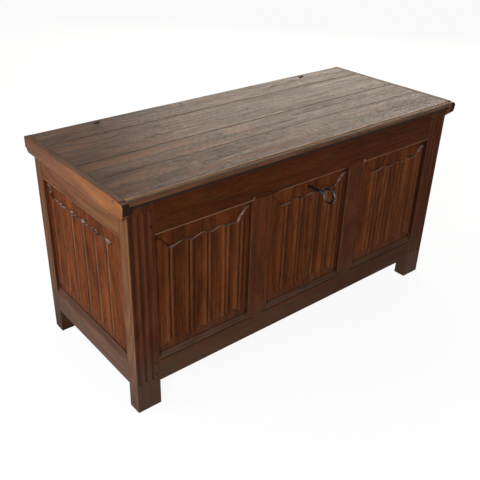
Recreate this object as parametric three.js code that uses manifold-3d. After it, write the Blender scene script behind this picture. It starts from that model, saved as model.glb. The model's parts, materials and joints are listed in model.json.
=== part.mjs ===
// Joined oak coffer chest with linenfold panels, a hinged plank lid and an inside lock
// Units are millimetres. X runs along the front, Y from front to back, and Z up from the floor.
import * as THREE from 'three';
import { mergeVertices } from 'three/addons/utils/BufferGeometryUtils.js';
import Module from 'manifold-3d';

const wasm = await Module();
wasm.setup();

// Driving dimensions of the carcass
const carcass = { width: 1300, depth: 535, height: 668 };
const post = { width: 78, depth: 45 };
const flute = { count: 3, pitch: 22, width: 17, depth: 4.5, inset: 15, footRise: 12, headDrop: 22 };
const capsuleSegments = { cap: 3, radial: 12 };
const rail = { thickness: 28, underside: 86, bottomHeight: 89, topHeight: 98 };
const chamfer = { drop: 12, run: 11 };
const sillQuirk = { drop: 3, width: 2.5, depth: 1.5 };
const bead = { width: 5, quirk: 1.5, easing: 1.8 };
const scribe = { height: 13, width: 2, depth: 1.2, steps: 8 };
const muntin = { width: 78, shoulder: 12, perFrame: 2 };
const groove = { setBack: 14, width: 7, depth: 10 };
const tenon = { setBack: 13, thickness: 9, length: 30, shoulder: 12 };
const board = { field: 5, bevel: 24, margin: 3 };
const floor = { rise: 34, thickness: 14, count: 4, grooveDepth: 9 };
const peg = { radius: 4, depth: 34, inset: 9, proud: 0.8, sides: 8, taper: 0.5 };
const pegHeightShares = [0.22, 0.85];

// Linenfold: double beads with a sharp line between them, hollows between the beads
const fold = { crest: 9.4, hollow: 4.4, line: 3.6, shoulder: 7.4, beadWidth: 6, beadFall: 7 };
const foldEndReach = 32;
const hem = { drop: 56, arch: 8, step: 37, flat: 5, foot: 38, footArch: 7, footStep: 20 };
const hemShares = { step: 0.139, lag: 0.18, lean: 1.25 };
const foldSteps = { bead: 3, hollow: 4, arch: 6, step: 6 };

// Fold lines, as shares of a panel's sight width from its middle, and the waves of its hem
const leftFolds = { lineShares: [-0.349, -0.149, 0.046, 0.243, 0.398], waves: 3 };
const middleFolds = { lineShares: [-0.31, -0.115, 0.094, 0.27, 0.419], waves: 3 };
const rightFolds = { lineShares: [-0.288, -0.097, 0.103, 0.267, 0.422], waves: 3 };
const sideFolds = { lineShares: [-0.42, -0.29, -0.137, 0.016, 0.169, 0.321], waves: 5 };

// Driving dimensions of the lid
const lid = { thickness: 26.5, backOverhang: 7.5, easing: 1.4 };
const plankShares = [0.201, 0.315, 0.196, 0.288];
const nosing = { flat: 2, quirk: 2.6, quirkRun: 2.6, projection: 19, radius: 8.5, coveRun: 12, steps: 6 };
const cleat = { thickness: 20, sideGap: 1, fascia: 34, notch: 3, notchDrop: 4, drop: 62 };
const cleatFront = { nose: 10, heel: 34 };
const nail = { shankRadius: 2, length: 44, drop: 10, sides: 8 };
const nailHead = { radius: 4.5, height: 2.2, proud: 0.8 };
const nailShares = [0.372, 0.54, 0.739, 0.915];

// Driving dimensions of the hinges
const eye = { inset: 129, wire: 2.25, radius: 6, behind: 3, below: 9.5, shank: 3, turns: 16, sides: 8 };
const clench = { width: 5.5, height: 2.6, reach: 10, forward: 16.5 };
const notch = { halfWidth: 10.5, depth: 13.5, room: 1.8 };

// Driving dimensions of the lock and key
const lock = { halfWidth: 72, wall: 2.2, topDrop: 16, depth: 21.5, keyDrop: 25, sides: 16 };
const bolt = { thickness: 5, setBack: 8.5, left: 66, web: 36, tail: 34, tailHeight: 16, throw: 11.3 };
const boltHead = { topDrop: 22, height: 12, gap: 2 };
const talon = { belowKey: 8, reach: 1.2, halfWidth: 4.8 };
const stud = { radius: 4, inset: 24, headDrop: 14, pad: 12 };
const rest = { start: 26, end: 60 };
const curtain = { radius: 17, thickness: 3, wall: 3.4 };
const key = { shank: 4.5, bit: 13, bitThickness: 4, bitLength: 15, wardCut: 2.2, wardDepth: 6, collar: 6.6 };
const bow = { centre: 71.5, radius: 22.3, wire: 3.8, turns: 24, sides: 8, collarLength: 5 };
const drillPin = { radius: 2, reach: 14.5 };
const catchPlate = { halfLength: 45, width: 24, thickness: 3 };
const lug = { halfThickness: 2.5, halfWidth: 6.5, eyeHalfWidth: 4, rim: 6 };

// Clearances and cutting allowances
const clearance = { fit: 0.3, end: 1.2, moving: 1.5, key: 0.6 };
const overrun = 3;
const mergeTolerance = 1e-4;

// Sizes that follow from the driving ones
const bottomRail = { low: rail.underside, high: rail.underside + rail.bottomHeight };
const topRail = { low: carcass.height - rail.topHeight, high: carcass.height };
const frontSpan = carcass.width - 2 * post.width;
const sideSpan = carcass.depth - 2 * post.depth;
const lidUnderside = carcass.height + clearance.fit;
const lidTop = lidUnderside + lid.thickness;
const lidBack = carcass.depth / 2 + lid.backOverhang;
const frontFace = -carcass.depth / 2;
const lidFront = frontFace - nosing.projection;
const bayWidth = (frontSpan - muntin.perFrame * muntin.width) / (muntin.perFrame + 1);
const hinge = {
  x: frontSpan / 2 - eye.inset,
  y: carcass.depth / 2 + eye.behind,
  z: lidUnderside - eye.below,
};
const floorRange = { low: rail.underside + floor.rise, high: rail.underside + floor.rise + floor.thickness };
const fluteRange = { low: rail.underside + flute.footRise, high: carcass.height - flute.headDrop };
const lockTop = carcass.height - lock.topDrop;
const keyHeight = topRail.low - lock.keyDrop;
const headRange = { low: lockTop - boltHead.topDrop - boltHead.height, high: lockTop - boltHead.topDrop };
const studPlace = { x: stud.inset - bolt.left, z: headRange.low - stud.headDrop };

// Materials
const wood = (color, roughness) => new THREE.MeshStandardMaterial({ color, roughness, metalness: 0 });
const metal = (color, roughness) => new THREE.MeshStandardMaterial({ color, roughness, metalness: 0.8 });
const oak = wood(0x5a3420, 0.6);
const panelOak = wood(0x6b3d22, 0.55);
const lidOak = wood(0x6a5140, 0.5);
const plainOak = wood(0x6e5238, 0.75);
const iron = metal(0x2b2a2c, 0.5);

// Turns a closed geometry into a solid that can be joined and cut
function solid(geometry) {
  const bare = geometry.clone();
  bare.deleteAttribute('normal');
  bare.deleteAttribute('uv');
  const merged = mergeVertices(bare, mergeTolerance);
  return new wasm.Manifold(new wasm.Mesh({
    numProp: 3,
    vertProperties: new Float32Array(merged.attributes.position.array),
    triVerts: new Uint32Array(merged.index.array),
  }));
}

// Turns a solid back into a geometry for a mesh
function geometryOf(shape) {
  const mesh = shape.getMesh();
  const geometry = new THREE.BufferGeometry();
  const points = new Float32Array(mesh.numVert * 3);
  for (let i = 0; i < mesh.numVert; i += 1) {
    const start = mesh.numProp * i;
    points.set(mesh.vertProperties.subarray(start, start + 3), 3 * i);
  }
  geometry.setAttribute('position', new THREE.BufferAttribute(points, 3));
  geometry.setIndex(new THREE.BufferAttribute(new Uint32Array(mesh.triVerts), 1));
  geometry.computeVertexNormals();
  return geometry;
}

function piece(name, shape, material) {
  const mesh = new THREE.Mesh(geometryOf(shape), material);
  mesh.name = name;
  return mesh;
}

// A block between two corners
function block(x0, x1, y0, y1, z0, z1) {
  const geometry = new THREE.BoxGeometry(x1 - x0, y1 - y0, z1 - z0);
  geometry.translate((x0 + x1) / 2, (y0 + y1) / 2, (z0 + z1) / 2);
  return solid(geometry);
}

function outlineShape(points) {
  return new THREE.Shape(points.map(([across, up]) => new THREE.Vector2(across, up)));
}

function extruded(points, length, right, up, along, start) {
  const geometry = new THREE.ExtrudeGeometry(outlineShape(points), { depth: length, bevelEnabled: false });
  const basis = new THREE.Matrix4().makeBasis(right, up, along);
  basis.setPosition(start);
  geometry.applyMatrix4(basis);
  return solid(geometry);
}

const axisX = new THREE.Vector3(1, 0, 0);
const axisY = new THREE.Vector3(0, 1, 0);
const axisZ = new THREE.Vector3(0, 0, 1);

// Outlines of [y, z] points run along X, of [x, z] points along Y, and of [x, y] points along Z
const alongX = (points, x0, x1) =>
  extruded(points, x1 - x0, axisY, axisZ, axisX, new THREE.Vector3(x0, 0, 0));
const alongY = (points, y0, y1) =>
  extruded(points, y1 - y0, axisX, axisZ, axisY.clone().negate(), new THREE.Vector3(0, y1, 0));
const alongZ = (points, z0, z1) =>
  extruded(points, z1 - z0, axisX, axisY, axisZ, new THREE.Vector3(0, 0, z0));

// A round rod between two points
function rod(from, to, radius, sides, endRadius = radius) {
  const start = new THREE.Vector3(...from);
  const path = new THREE.Vector3(...to).sub(start);
  const geometry = new THREE.CylinderGeometry(endRadius, radius, path.length(), sides);
  const turn = new THREE.Quaternion().setFromUnitVectors(axisY, path.clone().normalize());
  geometry.applyQuaternion(turn);
  geometry.translate(start.x + path.x / 2, start.y + path.y / 2, start.z + path.z / 2);
  return solid(geometry);
}

// A wire ring around an axis
function ring(centre, normal, radius, wire, turns, sides) {
  const geometry = new THREE.TorusGeometry(radius, wire, sides, turns);
  geometry.applyQuaternion(new THREE.Quaternion().setFromUnitVectors(axisZ, normal));
  geometry.translate(...centre);
  return solid(geometry);
}

function joined(shapes) {
  return shapes.reduce((whole, shape) => whole.add(shape));
}

function without(shape, cutters) {
  return cutters.reduce((whole, cutter) => whole.subtract(cutter), shape);
}

// A quarter of an ellipse, from the end of its first radius to the end of its second
function quarter(centre, first, second, steps) {
  const points = [];
  for (let i = 0; i <= steps; i += 1) {
    const angle = (Math.PI / 2) * (i / steps);
    points.push([
      centre[0] + first[0] * Math.cos(angle) + second[0] * Math.sin(angle),
      centre[1] + first[1] * Math.cos(angle) + second[1] * Math.sin(angle),
    ]);
  }
  return points;
}

// Height ranges of the two rails' tenons
const tenonHeights = (range) => [range.low + tenon.shoulder, range.high - tenon.shoulder];

function pegHeights(range) {
  const [low, high] = tenonHeights(range);
  return pegHeightShares.map((share) => low + share * (high - low));
}

// Every frame is drawn in its own axes: x along it, y inwards from its outer face, z up
function bayCentres(span, muntins) {
  const width = (span - muntins * muntin.width) / (muntins + 1);
  return Array.from({ length: muntins + 1 }, (_, i) => -span / 2 + width / 2 + i * (width + muntin.width));
}

function muntinCentres(span, muntins) {
  const centres = bayCentres(span, muntins);
  return centres.slice(1).map((x, i) => (x + centres[i]) / 2);
}

function railTenons(span, range, spare = 0, endSpare = 0) {
  const [low, high] = tenonHeights(range);
  return [-1, 1].map((side) => {
    const ends = [side * (span / 2 - overrun), side * (span / 2 + tenon.length + endSpare)];
    return block(
      Math.min(...ends), Math.max(...ends),
      tenon.setBack - spare, tenon.setBack + tenon.thickness + spare,
      low - spare, high + spare,
    );
  });
}

function muntinTenon(x, z0, z1, spare = 0) {
  const half = muntin.width / 2 - muntin.shoulder + spare;
  return block(x - half, x + half, tenon.setBack - spare, tenon.setBack + tenon.thickness + spare, z0, z1);
}

function pegHoles(span, range, radius) {
  const holes = [];
  for (const side of [-1, 1]) {
    for (const z of pegHeights(range)) {
      const x = side * (span / 2 + peg.inset);
      holes.push(rod([x, -overrun, z], [x, peg.depth + clearance.fit, z], radius, peg.sides));
    }
  }
  return holes;
}

// A rail between two posts, with tenons, the panel groove and the muntins' mortises
function railBody(span, range, grooveHigh, muntins) {
  const body = block(
    -span / 2 + clearance.fit, span / 2 - clearance.fit, 0, rail.thickness, range.low, range.high,
  );
  const edge = grooveHigh ? range.high : range.low;
  const inward = grooveHigh ? -1 : 1;
  const cut = [edge - inward * overrun, edge + inward * groove.depth];
  const panelGroove = block(
    -span / 2 - overrun, span / 2 + overrun, groove.setBack, groove.setBack + groove.width,
    Math.min(...cut), Math.max(...cut),
  );
  const mortise = [edge - inward * overrun, edge + inward * (tenon.length + clearance.end)];
  const mortises = muntinCentres(span, muntins).map((x) =>
    muntinTenon(x, Math.min(...mortise), Math.max(...mortise), clearance.fit));
  const shape = without(body, [panelGroove, ...mortises]);
  return joined([shape, ...railTenons(span, range)]);
}

// The top rail has a scratched bead over each panel
function beadCuts(span, muntins) {
  const under = topRail.low;
  const half = (span - muntins * muntin.width) / (muntins + 1) / 2;
  const quirk = [
    [-overrun, under + bead.width], [bead.quirk, under + bead.width],
    [bead.quirk, under + bead.width + bead.quirk], [-overrun, under + bead.width + bead.quirk],
  ];
  const arris = [[-overrun, under - overrun], [bead.easing + overrun, under - overrun],
    [-overrun, under + bead.easing + overrun]];
  const outlines = [quirk, arris];
  const beads = bayCentres(span, muntins)
    .flatMap((x) => outlines.map((cut) => alongX(cut, x - half, x + half)));
  return [...beads, ...muntinCentres(span, muntins).map(scribedArch)];
}

// A line scribed in the top rail over a muntin, from the bead on one side of it to the other
function scribedArch(x) {
  const foot = topRail.low + bead.width + bead.quirk / 2;
  const arc = (across, up) => Array.from({ length: scribe.steps + 1 }, (_, i) => {
    const angle = (Math.PI * i) / scribe.steps;
    return [x + across * Math.cos(angle), foot + up * Math.sin(angle)];
  });
  const half = muntin.width / 2;
  const outer = arc(half + scribe.width, scribe.height);
  const inner = arc(half, scribe.height - scribe.width).reverse();
  return alongY([...outer, ...inner], -overrun, scribe.depth);
}

// The bottom rail has a sloping sill with a quirk under each panel, mitred at the muntins' feet
function sillCuts(span, muntins) {
  const half = (span - muntins * muntin.width) / (muntins + 1) / 2;
  const top = bottomRail.high;
  const slope = chamfer.drop / chamfer.run;
  const cut = [
    [-overrun, top - chamfer.drop - overrun * slope],
    [chamfer.run + overrun, top + overrun * slope],
    [-overrun, top + overrun * slope],
  ];
  const quirkHigh = top - chamfer.drop - sillQuirk.drop;
  const quirkLow = quirkHigh - sillQuirk.width;
  const quirk = [[-overrun, quirkLow], [sillQuirk.depth, quirkLow], [sillQuirk.depth, quirkHigh],
    [-overrun, quirkHigh]];
  const reach = half + top - quirkLow + overrun;
  return bayCentres(span, muntins).flatMap((x) => {
    const mitre = alongY([
      [x - reach, quirkLow - overrun], [x + reach, quirkLow - overrun], [x + half, top], [x + half, top + reach],
      [x - half, top + reach], [x - half, top],
    ], -2 * overrun, chamfer.run + 2 * overrun);
    return [cut, quirk].map((outline) => alongX(outline, x - reach, x + reach).intersect(mitre));
  });
}

function floorGroove(span) {
  const inner = rail.thickness;
  return block(
    -span / 2 - overrun, span / 2 + overrun, inner - floor.grooveDepth, inner + overrun,
    floorRange.low - clearance.fit, floorRange.high + clearance.fit,
  );
}

function makeTopRail(span, muntins, shown, pegged = false) {
  const cuts = shown ? beadCuts(span, muntins) : [];
  const holes = pegged ? pegHoles(span, topRail, peg.radius + clearance.fit) : [];
  return without(railBody(span, topRail, false, muntins), [...cuts, ...holes]);
}

function makeBottomRail(span, muntins, shown, pegged = false) {
  const cuts = shown ? sillCuts(span, muntins) : [];
  const holes = pegged ? pegHoles(span, bottomRail, peg.radius + clearance.fit) : [];
  return without(railBody(span, bottomRail, true, muntins), [...cuts, floorGroove(span), ...holes]);
}

// A muntin stands between the rails, with a bead scratched along both edges of its face
function makeMuntin(x, shown) {
  const low = bottomRail.high + clearance.fit;
  const high = topRail.low - clearance.fit;
  const half = muntin.width / 2;
  const body = block(x - half, x + half, 0, rail.thickness, low, high);
  const cuts = [];
  for (const side of [-1, 1]) {
    const edge = x + side * half;
    const grooveEnds = [edge + side * overrun, edge - side * groove.depth];
    cuts.push(block(
      Math.min(...grooveEnds), Math.max(...grooveEnds),
      groove.setBack, groove.setBack + groove.width, low - overrun, high + overrun,
    ));
    if (shown) {
      const quirkEnds = [edge - side * bead.width, edge - side * (bead.width + bead.quirk)];
      cuts.push(block(
        Math.min(...quirkEnds), Math.max(...quirkEnds), -overrun, bead.quirk, low - overrun, high + overrun,
      ));
      const reach = bead.easing + overrun;
      cuts.push(alongZ([
        [edge + side * overrun, -overrun], [edge + side * overrun, reach], [edge - side * reach, -overrun],
      ], low - overrun, high + overrun));
    }
  }
  const tenonLow = muntinTenon(x, low - tenon.length, low + overrun);
  const tenonHigh = muntinTenon(x, high - overrun, high + tenon.length);
  return joined([without(body, cuts), tenonLow, tenonHigh]);
}

// The outline of a fielded board in one direction: flush in front, with a raised field behind
function fieldedOutline(half) {
  const front = groove.setBack + clearance.fit;
  const back = groove.setBack + groove.width - clearance.fit;
  const tongue = half - groove.depth + clearance.end;
  const edge = tongue - board.margin - groove.depth;
  return [
    [-half, front], [half, front], [half, back], [edge, back], [edge - board.bevel, back + board.field],
    [-edge + board.bevel, back + board.field], [-edge, back], [-half, back],
  ];
}

const panelLow = bottomRail.high - groove.depth + clearance.end;
const panelHigh = topRail.low + groove.depth - clearance.end;

function fieldedBoard(sight) {
  const half = sight / 2 + groove.depth - clearance.end;
  const middle = (panelLow + panelHigh) / 2;
  const acrossWidth = alongZ(fieldedOutline(half), panelLow, panelHigh);
  const outline = fieldedOutline((panelHigh - panelLow) / 2);
  const upHeight = alongX(outline.map(([along, depth]) => [depth, along + middle]), -half, half);
  return acrossWidth.intersect(upHeight);
}

// Height of the carved surface over the ground, at a distance from the nearest fold line
function foldHeight(distance, reach) {
  if (distance <= fold.beadWidth) {
    return fold.line + (fold.crest - fold.line) * Math.sin((Math.PI / 2) * (distance / fold.beadWidth));
  }
  const outer = fold.beadWidth + fold.beadFall;
  if (distance <= outer) {
    const turn = (Math.PI / 2) * ((distance - fold.beadWidth) / fold.beadFall);
    return fold.crest - (fold.crest - fold.shoulder) * (1 - Math.cos(turn));
  }
  const along = Math.min(1, (distance - outer) / (reach - outer));
  return fold.hollow + (fold.shoulder - fold.hollow) * (1 - along) ** 2;
}

// Distances from a fold line at which the carved surface has a point
function foldStations(reach) {
  const stations = [0];
  const stretch = (width, steps) => {
    const start = stations[stations.length - 1];
    for (let i = 1; i <= steps; i += 1) stations.push(start + (width * i) / steps);
  };
  stretch(fold.beadWidth, foldSteps.bead);
  stretch(fold.beadFall, foldSteps.bead);
  stretch(reach - fold.beadWidth - fold.beadFall, foldSteps.hollow);
  return stations;
}

const foldLines = (sight, folds) => folds.lineShares.map((share) => share * sight);

// Section of the folds across a panel, as [x, y] points with y towards the front
function foldSection(sight, folds) {
  const ground = groove.setBack + clearance.fit;
  const half = sight / 2 - clearance.fit;
  const lines = foldLines(sight, folds);
  const surface = [];
  lines.forEach((line, i) => {
    const before = i ? (line - lines[i - 1]) / 2 : foldEndReach;
    const after = i + 1 < lines.length ? (lines[i + 1] - line) / 2 : foldEndReach;
    const rising = foldStations(before).reverse().slice(i ? 1 : 0, -1);
    rising.forEach((d) => surface.push([line - d, ground - foldHeight(d, before)]));
    foldStations(after).forEach((d) => surface.push([line + d, ground - foldHeight(d, after)]));
  });
  const edge = ground - fold.hollow;
  const back = ground + clearance.fit;
  const shown = surface.filter(([x]) => Math.abs(x) < half - clearance.fit);
  return [[-half, back], [-half, edge], ...shown, [half, edge], [half, back]];
}

// Rise of a hem from its first or last wave to the panel's edge, as [distance, rise] points
function hemRise(start, half, step) {
  const end = half - hem.flat;
  return Array.from({ length: foldSteps.step + 1 }, (_, i) => {
    const turn = i / foldSteps.step;
    return [start + turn * (end - start), step * Math.sin((Math.PI / 2) * turn)];
  });
}

// One end of the folds, from the left edge of the panel to its right edge, as [x, rise] points
function hemEnd(sight, folds, arch, step) {
  const half = sight / 2 - clearance.fit;
  const lines = foldLines(sight, folds);
  const lag = hemShares.lag;
  const points = [];
  for (let cell = 0; cell < folds.waves; cell += 1) {
    const width = lines[cell + 1] - lines[cell];
    for (let i = 0; i < foldSteps.arch; i += 1) {
      const turn = i / foldSteps.arch;
      const rise = arch * Math.sin(Math.PI * turn ** hemShares.lean) ** 2;
      points.push([lines[cell] + (turn + lag) * width, rise]);
    }
  }
  const rest = half - hemShares.step * sight;
  const left = hemRise(Math.max(-lines[0], rest), half, step).map(([x, up]) => [-x, up]).reverse();
  const last = points[points.length - 1][0] + foldEndReach / 2;
  const right = hemRise(Math.max(last, rest), half, step);
  return [[-half, step], ...left, ...points, ...right, [half, step]];
}

// Linenfold carving: the fold section cut to the wavy outline of its two hems
function linenfold(sight, folds) {
  const ground = groove.setBack + clearance.fit;
  const headLine = topRail.low - hem.drop;
  const footLine = bottomRail.high + hem.foot;
  const top = hemEnd(sight, folds, hem.arch, hem.step).map(([x, up]) => [x, headLine + up]);
  const foot = hemEnd(sight, folds, hem.footArch, hem.footStep).map(([x, down]) => [x, footLine - down]);
  const outline = [...top, ...foot.reverse()];
  const carving = alongZ(foldSection(sight, folds), bottomRail.high - overrun, topRail.low + overrun);
  return carving.intersect(alongY(outline, 0, ground + overrun));
}

function linenPanel(sight, folds) {
  return fieldedBoard(sight).add(linenfold(sight, folds));
}

// Corner post in its own axes: x inwards from its outer side, y inwards from its outer face, z up
function makePost(fluted) {
  const body = block(0, post.width, 0, post.depth, 0, carcass.height);
  const cuts = [];
  for (const range of [bottomRail, topRail]) {
    const [low, high] = tenonHeights(range).map((z, i) => z + (i ? 1 : -1) * clearance.fit);
    const inner = tenon.setBack - clearance.fit;
    const outer = tenon.setBack + tenon.thickness + clearance.fit;
    const deep = tenon.length + clearance.end;
    cuts.push(block(post.width - deep, post.width + overrun, inner, outer, low, high));
    cuts.push(block(inner, outer, post.depth - deep, post.depth + overrun, low, high));
    const holeEnd = peg.depth + clearance.fit;
    for (const z of fluted ? pegHeights(range) : []) {
      const x = post.width - peg.inset;
      cuts.push(rod([x, -overrun, z], [x, holeEnd, z], peg.radius + clearance.fit, peg.sides));
    }
  }
  const grooveLow = bottomRail.high - groove.depth;
  const grooveHigh = topRail.low + groove.depth;
  const [near, far] = [groove.setBack, groove.setBack + groove.width];
  cuts.push(block(post.width - groove.depth, post.width + overrun, near, far, grooveLow, grooveHigh));
  cuts.push(block(near, far, post.depth - groove.depth, post.depth + overrun, grooveLow, grooveHigh));
  return without(body, fluted ? [...cuts, ...fluteCuts()] : cuts);
}

// Stopped flutes with round ends, cut in the face of a front post
function fluteCuts() {
  const radius = flute.width / 2;
  const straight = (fluteRange.high - fluteRange.low) / radius - 2;
  return Array.from({ length: flute.count }, (_, i) => {
    const geometry = new THREE.CapsuleGeometry(1, straight, capsuleSegments.cap, capsuleSegments.radial);
    geometry.rotateX(Math.PI / 2);
    geometry.scale(radius, flute.depth, radius);
    geometry.translate(flute.inset + i * flute.pitch, 0, (fluteRange.low + fluteRange.high) / 2);
    return solid(geometry);
  });
}

// Reflects a finished piece to the other side of the chest
function mirrored(shape, x, y) {
  const geometry = geometryOf(shape);
  geometry.scale(x, y, 1);
  if (x * y < 0) {
    const index = geometry.index.array;
    for (let i = 0; i < index.length; i += 3) [index[i + 1], index[i + 2]] = [index[i + 2], index[i + 1]];
  }
  return solid(geometry);
}

function posts() {
  const group = new THREE.Group();
  const shapes = { front: makePost(true), back: makePost(false) };
  for (const [depthName, y] of [['front', 1], ['back', -1]]) {
    for (const [sideName, x] of [['left', 1], ['right', -1]]) {
      const mesh = piece(`post_${depthName}_${sideName}`, mirrored(shapes[depthName], x, y), oak);
      mesh.position.set((-x * carcass.width) / 2, (-y * carcass.depth) / 2, 0);
      group.add(mesh);
    }
  }
  return group;
}

// Front frame, with the keyhole in its middle panel
function frontFrame() {
  const group = new THREE.Group();
  const names = ['left', 'middle', 'right'];
  const muntins = muntin.perFrame;
  group.add(piece('rail_front_top', makeTopRail(frontSpan, muntins, true, true), oak));
  group.add(piece('rail_front_bottom', makeBottomRail(frontSpan, muntins, true, true), oak));
  muntinCentres(frontSpan, muntins).forEach((x, i) => {
    group.add(piece(`muntin_front_${i ? 'right' : 'left'}`, makeMuntin(x, true), oak));
  });
  bayCentres(frontSpan, muntins).forEach((x, i) => {
    const carved = linenPanel(bayWidth, [leftFolds, middleFolds, rightFolds][i]);
    const locked = names[i] === 'middle';
    const shape = locked ? carved.subtract(keyhole(0, rail.thickness, clearance.key)) : carved;
    const mesh = piece(`panel_front_${names[i]}`, shape, panelOak);
    mesh.position.x = x;
    group.add(mesh);
  });
  group.position.y = frontFace;
  return group;
}

// Back frame: plain panels, and the hinge notches in its top rail
function backFrame() {
  const group = new THREE.Group();
  const names = ['right', 'middle', 'left'];
  const muntins = muntin.perFrame;
  const notched = without(makeTopRail(frontSpan, muntins, false), hingeCuts());
  group.add(piece('rail_back_top', notched, oak));
  group.add(piece('rail_back_bottom', makeBottomRail(frontSpan, muntins, false), oak));
  muntinCentres(frontSpan, muntins).forEach((x, i) => {
    group.add(piece(`muntin_back_${i ? 'left' : 'right'}`, makeMuntin(x, false), oak));
  });
  bayCentres(frontSpan, muntins).forEach((x, i) => {
    const mesh = piece(`panel_back_${names[i]}`, fieldedBoard(bayWidth), plainOak);
    mesh.position.x = x;
    group.add(mesh);
  });
  group.rotation.z = Math.PI;
  group.position.y = -frontFace;
  return group;
}

// End frame: two rails and one wide linenfold panel
function endFrame(name, side) {
  const group = new THREE.Group();
  group.add(piece(`rail_${name}_top`, makeTopRail(sideSpan, 0, true), oak));
  group.add(piece(`rail_${name}_bottom`, makeBottomRail(sideSpan, 0, true), oak));
  group.add(piece(`panel_${name}`, linenPanel(sideSpan, sideFolds), panelOak));
  group.rotation.z = (side * Math.PI) / 2;
  group.position.x = (side * carcass.width) / 2;
  return group;
}

// Draw-bore pegs that lock the front rails' tenons in the posts
function pegs() {
  const group = new THREE.Group();
  for (const [sideName, side] of [['left', -1], ['right', 1]]) {
    for (const [rangeName, range] of [['bottom', bottomRail], ['top', topRail]]) {
      pegHeights(range).forEach((z, i) => {
        const tip = peg.radius - peg.taper;
        const shape = rod([0, -peg.proud, 0], [0, peg.depth, 0], peg.radius, peg.sides, tip);
        const mesh = piece(`peg_${sideName}_${rangeName}_${i + 1}`, shape, oak);
        mesh.position.set(side * (frontSpan / 2 + peg.inset), frontFace, z);
        group.add(mesh);
      });
    }
  }
  return group;
}

// Floor boards run from front to back in grooves, notched round the posts
function floorBoards() {
  const group = new THREE.Group();
  const reach = floor.grooveDepth - clearance.end;
  const halfLength = carcass.width / 2 - rail.thickness + reach;
  const halfDepth = carcass.depth / 2 - rail.thickness + reach;
  const width = (2 * halfLength) / floor.count;
  const corners = [];
  for (const x of [-1, 1]) {
    for (const y of [-1, 1]) {
      const xs = [x * (carcass.width / 2 - post.width - clearance.fit), x * carcass.width];
      const ys = [y * (carcass.depth / 2 - post.depth - clearance.fit), y * carcass.depth];
      corners.push(block(Math.min(...xs), Math.max(...xs), Math.min(...ys), Math.max(...ys),
        floorRange.low - overrun, floorRange.high + overrun));
    }
  }
  for (let i = 0; i < floor.count; i += 1) {
    const start = -halfLength + i * width + (i ? clearance.fit : 0);
    const end = -halfLength + (i + 1) * width;
    const plain = block(start, end, -halfDepth, halfDepth, floorRange.low, floorRange.high);
    group.add(piece(`floor_board_${i + 1}`, without(plain, corners), plainOak));
  }
  return group;
}

// Section of the front plank: flat top, quirk, torus and a cove back to the front of the chest
function nosingOutline(back) {
  const flatEnd = frontFace + nosing.flat;
  const torusTop = lidTop - nosing.quirk;
  const torusStart = flatEnd - nosing.quirkRun;
  const torusCentre = torusTop - nosing.radius;
  const rounded = quarter([torusStart - overrun, torusCentre], [0, nosing.radius],
    [lidFront - torusStart + overrun, 0], nosing.steps);
  const coveHeight = torusCentre - lidUnderside;
  const cove = quarter([lidFront, lidUnderside], [0, coveHeight], [nosing.coveRun, 0], nosing.steps);
  return [[back, lidUnderside], [back, lidTop], [flatEnd, lidTop], [flatEnd, torusTop], ...rounded, ...cove];
}

function plankOutline(front, back) {
  return [
    [front, lidUnderside], [back, lidUnderside], [back, lidTop - lid.easing], [back - lid.easing, lidTop],
    [front + lid.easing, lidTop], [front, lidTop - lid.easing],
  ];
}

const plankEnd = carcass.width / 2 + cleat.sideGap - clearance.fit;
const lidDepth = lidBack - lidFront;

// Nails and seams lie at shares of the lid's depth, from the back edge
const nailPlaces = nailShares.map((share) => lidBack - share * lidDepth);

function nailHoles(side) {
  const outside = side * (carcass.width / 2 + cleat.sideGap + cleat.thickness);
  const z = lidTop - nail.drop;
  const headDepth = nailHead.height - nailHead.proud + clearance.fit;
  return nailPlaces.flatMap((y) => [
    rod([outside + side * overrun, y, z], [outside - side * (nail.length + clearance.end), y, z],
      nail.shankRadius + clearance.fit, nail.sides),
    rod([outside + side * overrun, y, z], [outside - side * headDepth, y, z],
      nailHead.radius + clearance.fit, nail.sides),
  ]);
}

function lidPlanks() {
  const group = new THREE.Group();
  const holes = [...nailHoles(-1), ...nailHoles(1), ...lidShankHoles()];
  let edge = lidBack;
  plankShares.forEach((share, i) => {
    const back = edge - (i ? clearance.fit : 0);
    edge -= share * lidDepth;
    const last = i + 1 === plankShares.length;
    const outline = last ? nosingOutline(back) : plankOutline(edge, back);
    group.add(piece(`lid_plank_${i + 1}`, without(alongX(outline, -plankEnd, plankEnd), holes), lidOak));
  });
  return group;
}

// Moulded cleat across the ends of the planks, hanging down outside the chest
function makeCleat(side) {
  const inner = carcass.width / 2 + cleat.sideGap;
  const outer = inner + cleat.thickness;
  const low = lidTop - cleat.drop;
  const notchTop = lidTop - cleat.fascia;
  const ovolo = quarter([inner, notchTop - cleat.notchDrop], [cleat.thickness - cleat.notch, 0],
    [0, low - notchTop + cleat.notchDrop], nosing.steps);
  const section = [
    [inner, lidTop], [outer - lid.easing, lidTop], [outer, lidTop - lid.easing], [outer, notchTop],
    [outer - cleat.notch, notchTop], ...ovolo,
  ];
  const noseCentre = [lidFront + cleatFront.nose, lidTop - nosing.quirk - nosing.radius];
  const nose = quarter(noseCentre, [0, nosing.radius], [-cleatFront.nose, 0], nosing.steps);
  const sideOutline = [
    [lidBack, low], [lidBack, lidTop], [frontFace + nosing.flat, lidTop],
    [frontFace + nosing.flat, lidTop - nosing.quirk], ...nose,
    [lidFront + cleat.notch, notchTop], [lidFront + cleatFront.heel, low],
  ];
  const shape = alongY(section, lidFront - overrun, lidBack + overrun)
    .intersect(alongX(sideOutline, inner - overrun, outer + overrun));
  return side > 0 ? shape : mirrored(shape, -1, 1);
}

function lidCleats() {
  const group = new THREE.Group();
  for (const [name, side] of [['left', -1], ['right', 1]]) {
    group.add(piece(`lid_end_${name}`, without(makeCleat(side), nailHoles(side)), lidOak));
  }
  return group;
}

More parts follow.
